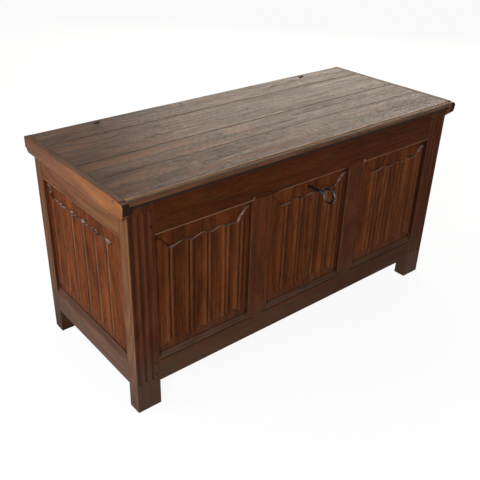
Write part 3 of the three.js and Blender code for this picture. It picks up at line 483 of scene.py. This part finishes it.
def name_board(piece, number):
    """Gives a board its own place in the grain and its own shade."""
    shift = [(number * step) % 1.0 for step in SHIFT_STEPS]
    shade = (number * SHADE_STEP + 0.2) % 1.0
    layer = piece.data.attributes.new("board", "FLOAT_COLOR", "POINT")
    value = [3.0 * shift[0], 2.0 * shift[1], 2.0 * shift[2], shade]
    layer.data.foreach_set("color", value * len(piece.data.vertices))


def mark_arrises(piece):
    """Marks what the bevel made: rubbed on an outer arris, painted shade and some dirt in a hollow. Then all
    faces get one finish.
    """
    mesh = piece.data
    marks = {"arris": [0.0] * len(mesh.loops), "grime_and_shade": [0.0] * len(mesh.loops)}
    beside = {}
    for face in mesh.polygons:
        for edge in face.edge_keys:
            beside.setdefault(edge, []).append(face)
    for face in mesh.polygons:
        if face.material_index:
            rise = sum((other.center - face.center).dot(face.normal)
                       for edge in face.edge_keys for other in beside[edge])
            name, value = ("arris", 1.0) if rise < 0 else ("grime_and_shade", HOLLOW)
            for corner in face.loop_indices:
                marks[name][corner] = value
    for face in mesh.polygons:
        face.material_index = 0
    for name, values in marks.items():
        mesh.attributes.new(name, "FLOAT", "CORNER").data.foreach_set("value", values)


def mark_faces(piece, name, value, wanted):
    """Sets an attribute on the faces that pass a test, to a value or to what a function gives for a corner."""
    mesh = piece.data
    kind, field = ("FLOAT_COLOR", "color") if name == "tint" else ("FLOAT", "value")
    layer = mesh.attributes.get(name) or mesh.attributes.new(name, kind, "CORNER")
    for face in mesh.polygons:
        if wanted(face.center, face.normal):
            for corner in face.loop_indices:
                place = mesh.vertices[mesh.loops[corner].vertex_index].co
                setattr(layer.data[corner], field, value(place) if callable(value) else value)


def copy_node(node):
    """A merged copy of a solid, with the flat faces whole again."""
    pick(frame["nodes"][node])
    bpy.ops.object.duplicate()
    piece = bpy.context.object
    bpy.ops.object.parent_clear(type="CLEAR_KEEP_TRANSFORM")
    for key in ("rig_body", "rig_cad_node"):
        del piece[key]
    piece.name = node + "_worked"
    open_mesh(piece)
    bpy.ops.mesh.remove_doubles(threshold=SAME_PLACE)
    bpy.ops.mesh.dissolve_limited(angle_limit=math.radians(SAME_PLANE))
    close_mesh()
    return piece


def cross_cuts(piece, axis, pitch):
    """Cuts a board across its length so that it can wave."""
    ends = [corner[axis] for corner in piece.bound_box]
    count = round((max(ends) - min(ends)) / pitch)
    normal = (X, Y, Z)[axis]
    open_mesh(piece)
    for i in range(1, count):
        bpy.ops.mesh.select_all(action="SELECT")
        place = normal * (min(ends) + (max(ends) - min(ends)) * i / count)
        bpy.ops.mesh.bisect(plane_co=place, plane_no=normal)
    close_mesh()


def crack(piece, start, end):
    """Cuts a thin, wandering, pointed drying crack down into a board's top."""
    start, end = Vector((*start, LID_TOP)), Vector((*end, LID_TOP))
    bpy.ops.mesh.primitive_cube_add(size=1, location=(start + end) / 2)
    blade = bpy.context.object
    blade.rotation_euler.z = math.atan2(end.y - start.y, end.x - start.x)
    blade.scale = ((end - start).length, CRACK_WIDTH, 2 * CRACK_DEPTH)
    bpy.ops.object.transform_apply(location=True, rotation=True, scale=True)
    cross_cuts(blade, 0, CRACK_PITCH)
    ends = [corner[0] for corner in blade.bound_box]
    open_mesh(blade)
    bpy.ops.mesh.select_all(action="DESELECT")
    close_mesh()
    for vertex in blade.data.vertices:
        vertex.select = min(abs(vertex.co.x - min(ends)), abs(vertex.co.x - max(ends))) < CRACK_POINT
    bpy.ops.object.mode_set(mode="EDIT")
    bpy.ops.mesh.merge(type="COLLAPSE")
    close_mesh()
    displaced(blade, WANDERING, CRACK_WANDER, direction="Y")
    combined(piece, blade, "DIFFERENCE")


def worked(node, body, slot, material, axis, arris=0.0012, pitch=0.09, reach=0.0012, marks=(), cracks=(),
           strips=()):
    """A worn wooden piece in place of its solid, with cuts across its axis and along the lines of its strips."""
    piece = copy_node(node)
    cross_cuts(piece, "XYZ".index(axis), pitch)
    for y in strips:
        open_mesh(piece)
        bpy.ops.mesh.bisect(plane_co=(0, y, 0), plane_no=Y)
        close_mesh()
    finish_in(piece, material, 2)
    rounded(piece, arris, ARRIS_ANGLE, material=1, miter_outer="MITER_ARC")
    mark_arrises(piece)
    for ends in cracks:
        crack(piece, *ends)
    if cracks:
        modify(piece, "TRIANGULATE", min_vertices=5)
    for mark in marks:
        mark_faces(piece, *mark)
    name_board(piece, next(boards))
    displaced(piece, PLANING, reach)
    settle(piece, body, slot, material, node)
    smoothed(piece, SMOOTH_WOOD)
    modify(piece, "WEIGHTED_NORMAL", keep_sharp=True)


# ---- Tests for faces, by their middle and by how far their normal leans along an axis

def within(value, span):
    return span[0] < value < span[1]


def behind_front(middle):
    return middle.y - FRONT


def inside_end(middle):
    return END - abs(middle.x)


def anywhere(middle, normal):
    return True


def on_hem(middle, normal):
    return within(middle.z, HEM) and normal.z > 0.5


def on_big_chip(middle, normal):
    return on_hem(middle, normal) and within(middle.y, BIG_CHIP)


def on_front_panel(middle):
    return abs(middle.x) < 0.6


def lit_fold(middle, normal):
    """The flanks of the folds that face the lamps, where a tan highlight is painted."""
    return HEM[0] > middle.z and (normal.x < -0.22 if on_front_panel(middle) else normal.y < -0.5)


def shaded_fold(middle, normal):
    return HEM[0] > middle.z and (normal.x > 0.22 if on_front_panel(middle) else normal.y > 0.22)


def on_bead(middle, normal):
    return within(middle.z, RAIL_BEAD) and abs(normal.z) < 0.8


def on_sill(middle, normal):
    return within(middle.z, SILL_SLOPE) and 0.4 < normal.z < 0.95


def on_sill_quirk(middle, normal):
    behind_face = (0.0002, 0.0018)
    near_face = within(behind_front(middle), behind_face) or within(inside_end(middle), behind_face)
    return within(middle.z, SILL_QUIRK) and near_face


def on_quirk(middle, normal):
    """The scratched lines of the rails, darkened by wax and dirt in them and by painted shade."""
    behind_face = (0.0009, 0.0022)
    front = normal.y < -0.7 and within(behind_front(middle), behind_face)
    end = abs(normal.x) > 0.7 and within(inside_end(middle), behind_face)
    return front or end


def on_end(middle, normal):
    return abs(normal.x) > 0.8 and inside_end(middle) < 0.005


def on_reveal(middle, normal):
    """The walls of the frames round the panels, and the quirks of their beads, which get painted shade."""
    wall = abs(normal.x) > 0.7 and abs(middle.x) < PANEL_SPREAD and behind_front(middle) < 0.02
    quirk = normal.y < -0.7 and within(behind_front(middle), (0.0010, 0.0022))
    return within(middle.z, OPENING) and (wall or quirk)


def on_post_face(middle, normal):
    return normal.y < -0.3 and behind_front(middle) < MOULDED


def on_lit_upright_flank(middle, normal):
    """The flanks of the narrow mouldings on the uprights that face the lamps, where a highlight is painted."""
    return behind_front(middle) < MOULDED and normal.x < -0.2 and within(middle.z, OPENING)


def on_flute_line(middle, normal):
    """The line along the bottom of a flute, where polish has gathered."""
    return within(behind_front(middle), (0.0039, 0.0050)) and abs(normal.x) < 0.13 and normal.y < -0.9


def on_foot(middle, normal):
    return middle.z < FOOT_TOP


def on_torus(middle, normal):
    return behind_front(middle) < 0.0019 and within(middle.z, TORUS) and normal.z < 0.85


# The cove under the lid's front round, which gets painted shade
def on_shaded_cove(middle, normal):
    return behind_front(middle) < 0.0005 and middle.z < TORUS[0] and normal.y < 0.5


def on_lip(middle, normal):
    """The lid's front edge above its moulding, worn by hands and painted with a highlight."""
    return middle.y < LIP and middle.z > LIP_FOOT


def on_plank(middle, normal):
    return middle.y > PLANKS_FROM


def on_seam(middle, normal):
    """Walls of the joints between the lid's planks and of the cracks in them."""
    return on_plank(middle, normal) and normal.z < 0.6 and LID_TOP - 0.02 < middle.z < LID_TOP


def on_cleat_top(middle, normal):
    return normal.z > 0.75 and middle.z > 0.69


def on_cleat_face(middle, normal):
    return abs(normal.x) > 0.8 and abs(middle.x) > 0.665


def on_cleat_nose(middle, normal):
    return normal.y < -0.35 and behind_front(middle) < -0.002


# ---- What is marked where

FOOT_GREY, END_BROWN = (0.122, 0.065, 0.039), (0.134, 0.056, 0.023)
CORNER_ORANGE, CLEAT_BROWN = (0.215, 0.075, 0.0185), (0.066, 0.0275, 0.0125)


def ramp(value, start, length):
    """0 at the start, 1 a length further."""
    return min(max((value - start) / length, 0.0), 1.0)


def blended(share, one, other):
    return tuple(a + (b - a) * share for a, b in zip(one, other))


def end_frame_tint(place):
    """Grey brown at the foot, warmer towards the lid and darker towards the back."""
    warm = blended(ramp(place.z, 0.15, 0.4), FOOT_GREY, END_BROWN)
    dark = 1 - 0.34 * ramp(place.y, -0.05, 0.32)
    return (*(value * dark for value in warm), 1.0)


def end_frame_share(place):
    return 0.85 * ramp(place.z, 0.02, 0.12)


# Painted shade on the back feet, darkest at the floor
def foot_shade(place):
    return 0.5 * ramp(place.z, 0.17, -0.15)


def cleat_tint(place):
    """Orange at the front corner, brown behind it."""
    return (*blended(ramp(place.y, -0.20, 0.38), CORNER_ORANGE, CLEAT_BROWN), 1.0)


def toned(colour, share, where):
    """Marks for a colour on some faces, in a share; it serves for own tones and for painted highlights."""
    return ("tint", colour if callable(colour) else (*colour, 1.0), where), ("tinted", share, where)


LEDGE = ("ledge", 0.75, on_hem)
FAINT_LEDGE = ("ledge", 0.25, on_hem)
CHIPS = (("chip", 0.45, on_hem), ("chip", 6.0, on_big_chip))
# Folds: a painted highlight on the flanks towards the lamps, painted shade on the flanks turned away
FOLDS = (*toned((0.165, 0.068, 0.030), 0.22, lit_fold), ("grime_and_shade", 0.30, shaded_fold))
SIDE_FOLDS = (*toned((0.205, 0.112, 0.066), 0.42, lit_fold), ("grime_and_shade", 0.55, shaded_fold))
FADED = toned(end_frame_tint, end_frame_share, on_end)
# Painted shade on the inner walls of the frames and in their beads' quirks
SHADED_REVEAL = ("grime_and_shade", 0.65, on_reveal)
# Wax, dirt and painted shade in the scratched lines of the rails
QUIRK = ("grime_and_shade", 0.8, on_quirk)
# The rails' bead: worn lighter, with a painted highlight along it
BEAD = toned((0.230, 0.118, 0.070), 0.6, on_bead)
# The sill's quirk is darkened as painted shade
SILL = (*toned((0.082, 0.050, 0.038), 0.6, on_sill), ("grime_and_shade", 0.85, on_sill_quirk))
# A painted highlight on the uprights' moulding flanks towards the lamps
UPRIGHT_HIGHLIGHT = toned((0.150, 0.062, 0.030), 0.6, on_lit_upright_flank)
POST_FACE = toned((0.050, 0.0148, 0.0068), 0.75, on_post_face)
# On the posts those flanks get a faint painted highlight; polish gathers along the bottom of each flute
FLUTES = (*toned((0.058, 0.0180, 0.0082), 0.6, on_lit_upright_flank), ("grime_and_shade", 0.45, on_flute_line))
# The back posts' feet get painted shade towards the floor
SHADED_BACK_FOOT = ("grime_and_shade", foot_shade, on_foot)
# The cleat's nose end is made dark: its end grain, and painted shade
CLEAT = (("grime_and_shade", 1.0, on_cleat_nose), *toned((0.095, 0.048, 0.026), 0.9, on_cleat_top),
         *toned(cleat_tint, 0.8, on_cleat_face))
PLANK = (("arris", 0.0, on_plank), ("grime_and_shade", 0.75, on_seam))
# The lid's moulded front: the torus in its own red brown, the cove darkened as painted shade, the lip worn
# lighter with a painted highlight
NOSING = (*toned((0.120, 0.046, 0.020), 0.9, on_torus), ("grime_and_shade", 0.95, on_shaded_cove),
          *toned((0.400, 0.235, 0.130), 0.7, on_lip), ("grime_and_shade", 0.0, on_lip))

# Cracks in the lid, plank by plank from the back: x and y of their two ends
CRACKS = (
    (((0.24, 0.258), (0.42, 0.266)),),
    (((-0.40, 0.090), (-0.22, 0.095)), ((0.03, 0.046), (0.22, 0.040))),
    (((0.10, -0.020), (0.40, -0.012)),),
    (((-0.33, -0.155), (-0.20, -0.150)), ((0.36, -0.158), (0.55, -0.166))),
)


# ---- The joinery

def framed(node, axis, marks=()):
    worked(node, "carcass", "frame_oak", OAK["frame_" + axis], axis, marks=marks)


def panelled(node, marks):
    worked(node, "carcass", "panel_oak", OAK["panel"], "Z", arris=0.001, pitch=0.03, reach=0.0014, marks=marks)


def plain(node, axis):
    worked(node, "carcass", "plain_oak", OAK["plain_" + axis], axis)


for row in ("front", "back"):
    for side, _ in SIDES:
        own = (*POST_FACE, *FLUTES) if row == "front" else (SHADED_BACK_FOOT,)
        framed(f"post_{row}_{side}", "Z", (*FADED, SHADED_REVEAL, *own))
        framed(f"muntin_{row}_{side}", "Z", (SHADED_REVEAL, *UPRIGHT_HIGHLIGHT))
    for level in ("top", "bottom"):
        framed(f"rail_{row}_{level}", "X", (*BEAD, QUIRK, *SILL) if row == "front" else ())
for side, _ in SIDES:
    for level in ("top", "bottom"):
        framed(f"rail_{side}_{level}", "Y", (*FADED, *BEAD, QUIRK, *SILL))
    own = (FAINT_LEDGE, *CHIPS) if side == "left" else (LEDGE,)
    panelled(f"panel_{side}", (*own, *SIDE_FOLDS))
    worked(f"lid_end_{side}", "lid", "lid_oak", OAK["lid_Y"], "Y", arris=0.0015, marks=CLEAT)
for column in COLUMNS:
    panelled(f"panel_front_{column}", (LEDGE, *FOLDS))
    plain(f"panel_back_{column}", "X")
for i, cracks in enumerate(CRACKS, 1):
    plain(f"floor_board_{i}", "Y")
    moulded = i == len(CRACKS)
    worked(f"lid_plank_{i}", "lid", "lid_oak", OAK["lid_X"], "X", arris=0.0006, reach=0.0010,
           marks=(*PLANK, *NOSING) if moulded else PLANK, cracks=cracks, strips=(LIP,) if moulded else ())
for node in [name for name in frame["nodes"] if name.startswith("peg_")]:
    worked(node, "carcass", "frame_oak", OAK["frame_Y"], "Y", arris=0.0008, reach=0.0003,
           marks=(("grime_and_shade", 0.5, anywhere),))


# ---- Ironwork: flat pieces are filed at their edges, round ones are turned or bent

SCALE_DARK, SCALE_LIGHT = (0.016, 0.015, 0.016), (0.085, 0.080, 0.082)
RUST, BARE_IRON = (0.085, 0.040, 0.022), (0.20, 0.20, 0.21)


def forged_iron(name, metallic, specular, smooth, rough):
    """Iron with its forge scale, some rust, and bare metal where it is rubbed."""
    material, tree, shader = start_material(name)
    place = object_place(tree)
    age = placed(tree, AGE, {"Vector": place})
    wear = placed(tree, WEAR_AND_SHADE, {"Vector": place})["Edge"]
    scale = cloud(tree, place, 160.0, 5.0, 0.65)
    colour = mixed(tree, ranged(tree, scale, 0.35, 0.65), SCALE_DARK, SCALE_LIGHT)
    colour = mixed(tree, ranged(tree, age["Dirt"], 0.58, 0.7, 0.0, 0.6), colour, RUST)
    colour = laid(tree, colour, wear, 0.8, BARE_IRON)
    tree.links.new(colour, shader.inputs["Base Color"])
    shader.inputs["Metallic"].default_value = metallic
    shader.inputs["Specular IOR Level"].default_value = specular
    tree.links.new(ranged(tree, scale, 0.3, 0.7, smooth, rough), shader.inputs["Roughness"])
    bumped(tree, shader, scale, 0.35, 0.0006)
    return material


IRON = forged_iron("Forged iron", 0.85, 0.5, 0.20, 0.40)
BLACKENED = forged_iron("Blackened iron", 0.0, 0.03, 0.70, 0.90)
FILED_ANGLE = 50  # degrees between faces from which an edge is filed
SMOOTH_KEY = 40  # degrees up to which a face of the key is shaded into the next
SLIVER = 2e-5  # a filed face that is thinner goes


def smithed(node, arris, material):
    """A filed iron piece in place of its solid."""
    piece = copy_node(node)
    finish_in(piece, material, 2)
    rounded(piece, arris, FILED_ANGLE, material=1)
    open_mesh(piece)
    bpy.ops.mesh.remove_doubles(threshold=SLIVER)
    close_mesh()
    mark_arrises(piece)
    settle(piece, frame["nodes"][node]["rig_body"], "iron", material, node)
    smoothed(piece, FILED_ANGLE)
    modify(piece, "WEIGHTED_NORMAL", keep_sharp=True)


def closed_up(piece):
    """Joins the seams of a spun or combined piece and turns its faces outward."""
    open_mesh(piece)
    bpy.ops.mesh.remove_doubles(threshold=SAME_PLACE)
    bpy.ops.mesh.normals_make_consistent(inside=False)
    close_mesh()


def lathed(centre, axis, profile, steps):
    """A body of revolution: the profile gives distance along the axis and radius, from end to end."""
    across = Z if abs(axis.z) < 0.5 else X
    points = [centre + axis * along + across * radius for along, radius in profile]
    bpy.ops.mesh.primitive_plane_add(size=0.001, location=points[0])
    piece = bpy.context.object
    open_mesh(piece)
    bpy.ops.mesh.merge(type="CENTER")
    for start, end in zip(points, points[1:]):
        bpy.ops.mesh.extrude_vertices_move(TRANSFORM_OT_translate={"value": end - start})
    bpy.ops.mesh.select_all(action="SELECT")
    bpy.ops.mesh.spin(steps=steps, angle=2 * math.pi, center=centre, axis=axis)
    close_mesh()
    closed_up(piece)
    return piece


def bent_ring(centre, radius, wire, sides=16, steps=48):
    """A ring of round bar in the plane across X."""
    bpy.ops.mesh.primitive_circle_add(vertices=sides, radius=wire, fill_type="NOTHING",
                                      location=centre + Y * radius)
    piece = bpy.context.object
    open_mesh(piece)
    bpy.ops.mesh.spin(steps=steps, angle=2 * math.pi, center=centre, axis=X)
    close_mesh()
    closed_up(piece)
    return piece


def cube(low, high):
    low, high = Vector(low), Vector(high)
    bpy.ops.mesh.primitive_cube_add(size=1, location=(low + high) / 2)
    piece = bpy.context.object
    piece.scale = high - low
    bpy.ops.object.transform_apply(location=True, rotation=True, scale=True)
    return piece


# The key, along Y from the front face
KEY_HEIGHT = 0.545
KEY_AT = Vector((0, FRONT, KEY_HEIGHT))
KEY_PROFILE = (
    (-0.0492, 0), (-0.0492, 0.0038), (-0.0466, 0.0044), (-0.0458, 0.0056), (-0.0448, 0.0064), (-0.0432, 0.0066),
    (-0.0416, 0.0064), (-0.0406, 0.0056), (-0.0398, 0.0046), (-0.0375, 0.0042), (-0.0368, 0.0048),
    (-0.0358, 0.0050), (-0.0348, 0.0048), (-0.0341, 0.0042), (-0.0300, 0.0043), (0.0486, 0.0044),
    (0.0494, 0.0039), (0.0494, 0.0023), (0.0375, 0.0023), (0.0375, 0),
)
KEY_BIT = ((-0.0019, FRONT + 0.0345, 0.5321), (0.0019, FRONT + 0.0493, KEY_HEIGHT - 0.0026))
KEY_STEPS = 32
WARD_CUTS, CUT_HALF_WIDTH = (-0.1875, -0.1781), 0.0011
CUT_FROM, CUT_TO, CUT_REACH = 0.52, 0.538, 0.01
RING_FORWARD, RING_RADIUS, RING_WIRE = 0.0715, 0.0225, 0.0035

# The nails that hold the lid's ends, from the point to the domed head
NAIL_PROFILE = (
    (-0.0440, 0), (-0.0400, 0.0010), (-0.0340, 0.0020), (-0.0013, 0.0020), (-0.0013, 0.0044), (-0.0002, 0.0044),
    (0.0003, 0.0038), (0.0006, 0.0025), (0.0008, 0),
)
NAIL_STEPS = 20


def forged_key():
    """Shank with its collar, bit with its ward cuts, and ring, in one piece."""
    piece = lathed(KEY_AT, Y, KEY_PROFILE, KEY_STEPS)
    bit = cube(*KEY_BIT)
    for y in WARD_CUTS:
        cut = cube((-CUT_REACH, y - CUT_HALF_WIDTH, CUT_FROM), (CUT_REACH, y + CUT_HALF_WIDTH, CUT_TO))
        combined(bit, cut, "DIFFERENCE")
    rounded(bit, 0.0004, FILED_ANGLE)
    combined(piece, bit, "UNION")
    combined(piece, bent_ring(KEY_AT - Y * RING_FORWARD, RING_RADIUS, RING_WIRE), "UNION")
    piece.name = "key_forged"
    closed_up(piece)
    settle(piece, "key", "iron", IRON, "key")
    smoothed(piece, SMOOTH_KEY)


def domed_nail(node, outward):
    low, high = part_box(node)
    head = Vector((outward * LID_END, (low.y + high.y) / 2, (low.z + high.z) / 2))
    nail = lathed(head, X * outward, NAIL_PROFILE, NAIL_STEPS)
    nail.name = node + "_domed"
    settle(nail, "lid", "iron", IRON, node)
    smoothed(nail, FILED_ANGLE)


forged_key()
for side, outward in SIDES:
    for i in range(1, 5):
        domed_nail(f"lid_nail_{side}_{i}", outward)
for node in ("lock_case", "lock_cover", "lock_bolt", "lock_curtain", "lid_catch"):
    smithed(node, 0.0005, IRON)
for side, _ in SIDES:
    for part in ("lid", "rail"):
        smithed(f"{part}_eye_{side}", 0.0003, BLACKENED)


# ---- Stage, light and camera

SURROUND = 0.42
FLOOR_SIZE = 60
FLOOR_GREY, FLOOR_GLOW = 0.85, 1.04  # as the light falls on it, and as it is seen
FLOOR_CLEAR = 0.87  # share of the glow, which leaves the rest to the shadow
# Name, place, aim, width, height, power and colour
LAMPS = (
    ("Side window", (-3.5, 1.1, 1.2), (-0.65, 0.05, 0.35), 1.4, 1.4, 60, (1, 1, 1)),
    ("Front window", (-3.3, -2.2, 1.3), (0, -0.2, 0.35), 1.1, 1.6, 110, (1, 1, 1)),
    ("Far window", (3.1, 2.7, 2.0), (0, 0, 0.6), 3.6, 1.8, 106, (1.0, 0.90, 0.77)),
)


def seen_or_mirrored(tree):
    """1 for the camera, and for what gloss and glass show."""
    path = put(tree, "LightPath").outputs
    return maths(tree, "MAXIMUM", path["Is Camera Ray"],
                 maths(tree, "MAXIMUM", path["Is Glossy Ray"], path["Is Transmission Ray"]))


def pale_floor():
    """White to the eye and in reflections, with the chest's own shadow kept."""
    material, tree, shader = start_material("Studio floor")
    tree.nodes.remove(shader)
    bright = put(tree, "Emission", {"Color": WHITE, "Strength": FLOOR_GLOW}).outputs[0]
    lit = put(tree, "BsdfDiffuse", {"Color": (FLOOR_GREY, FLOOR_GREY, FLOOR_GREY, 1)}).outputs[0]
    share = maths(tree, "MULTIPLY", seen_or_mirrored(tree), FLOOR_CLEAR)
    mix = put(tree, "MixShader", {0: share, 1: lit, 2: bright})
    tree.links.new(mix.outputs[0], tree.nodes["Material Output"].inputs["Surface"])
    bpy.ops.mesh.primitive_plane_add(size=FLOOR_SIZE)
    floor = bpy.context.object
    floor.name = "studio_floor"
    floor.data.materials.append(material)


def white_surround(strength):
    """Even studio light, white to the eye and in reflections."""
    world = bpy.data.worlds.new("Studio")
    bpy.context.scene.world = world
    world.use_nodes = True
    tree = world.node_tree
    light = tree.nodes["Background"]
    light.inputs["Color"].default_value = WHITE
    light.inputs["Strength"].default_value = strength
    white = put(tree, "Background", {"Color": WHITE, "Strength": 1.0}).outputs[0]
    mix = put(tree, "MixShader", {0: seen_or_mirrored(tree), 1: light.outputs[0], 2: white})
    tree.links.new(mix.outputs[0], tree.nodes["World Output"].inputs["Surface"])


def lamp(name, place, aim, width, height, power, colour):
    data = bpy.data.lights.new(name, "AREA")
    data.color = colour
    data.shape = "RECTANGLE"
    data.size, data.size_y, data.energy = width, height, power
    lit = bpy.data.objects.new(name, data)
    bpy.context.scene.collection.objects.link(lit)
    lit.location = place
    lit.rotation_euler = (Vector(aim) - Vector(place)).to_track_quat("-Z", "Y").to_euler()


def set_camera():
    data = bpy.data.cameras.new("Camera")
    data.sensor_width, data.lens = 36.0, CAMERA_LENS
    data.shift_x, data.shift_y = CAMERA_SHIFT
    camera = bpy.data.objects.new("Camera", data)
    bpy.context.scene.collection.objects.link(camera)
    turn, dip, roll = CAMERA_TURN, CAMERA_DIP, CAMERA_ROLL
    ahead = Vector((math.sin(turn) * math.cos(dip), math.cos(turn) * math.cos(dip), -math.sin(dip)))
    level = Vector((math.cos(turn), -math.sin(turn), 0))
    upright = level.cross(ahead)
    right = level * math.cos(roll) + upright * math.sin(roll)
    up = upright * math.cos(roll) - level * math.sin(roll)
    matrix = camera.matrix_world.copy()
    for column, axis in enumerate((right, up, -ahead)):
        for line in range(3):
            matrix[line][column] = axis[line]
    matrix.translation = CAMERA_AT
    camera.matrix_world = matrix
    bpy.context.scene.camera = camera


bpy.context.scene.view_settings.view_transform = "Standard"
pale_floor()
white_surround(SURROUND)
for settings in LAMPS:
    lamp(*settings)
set_camera()
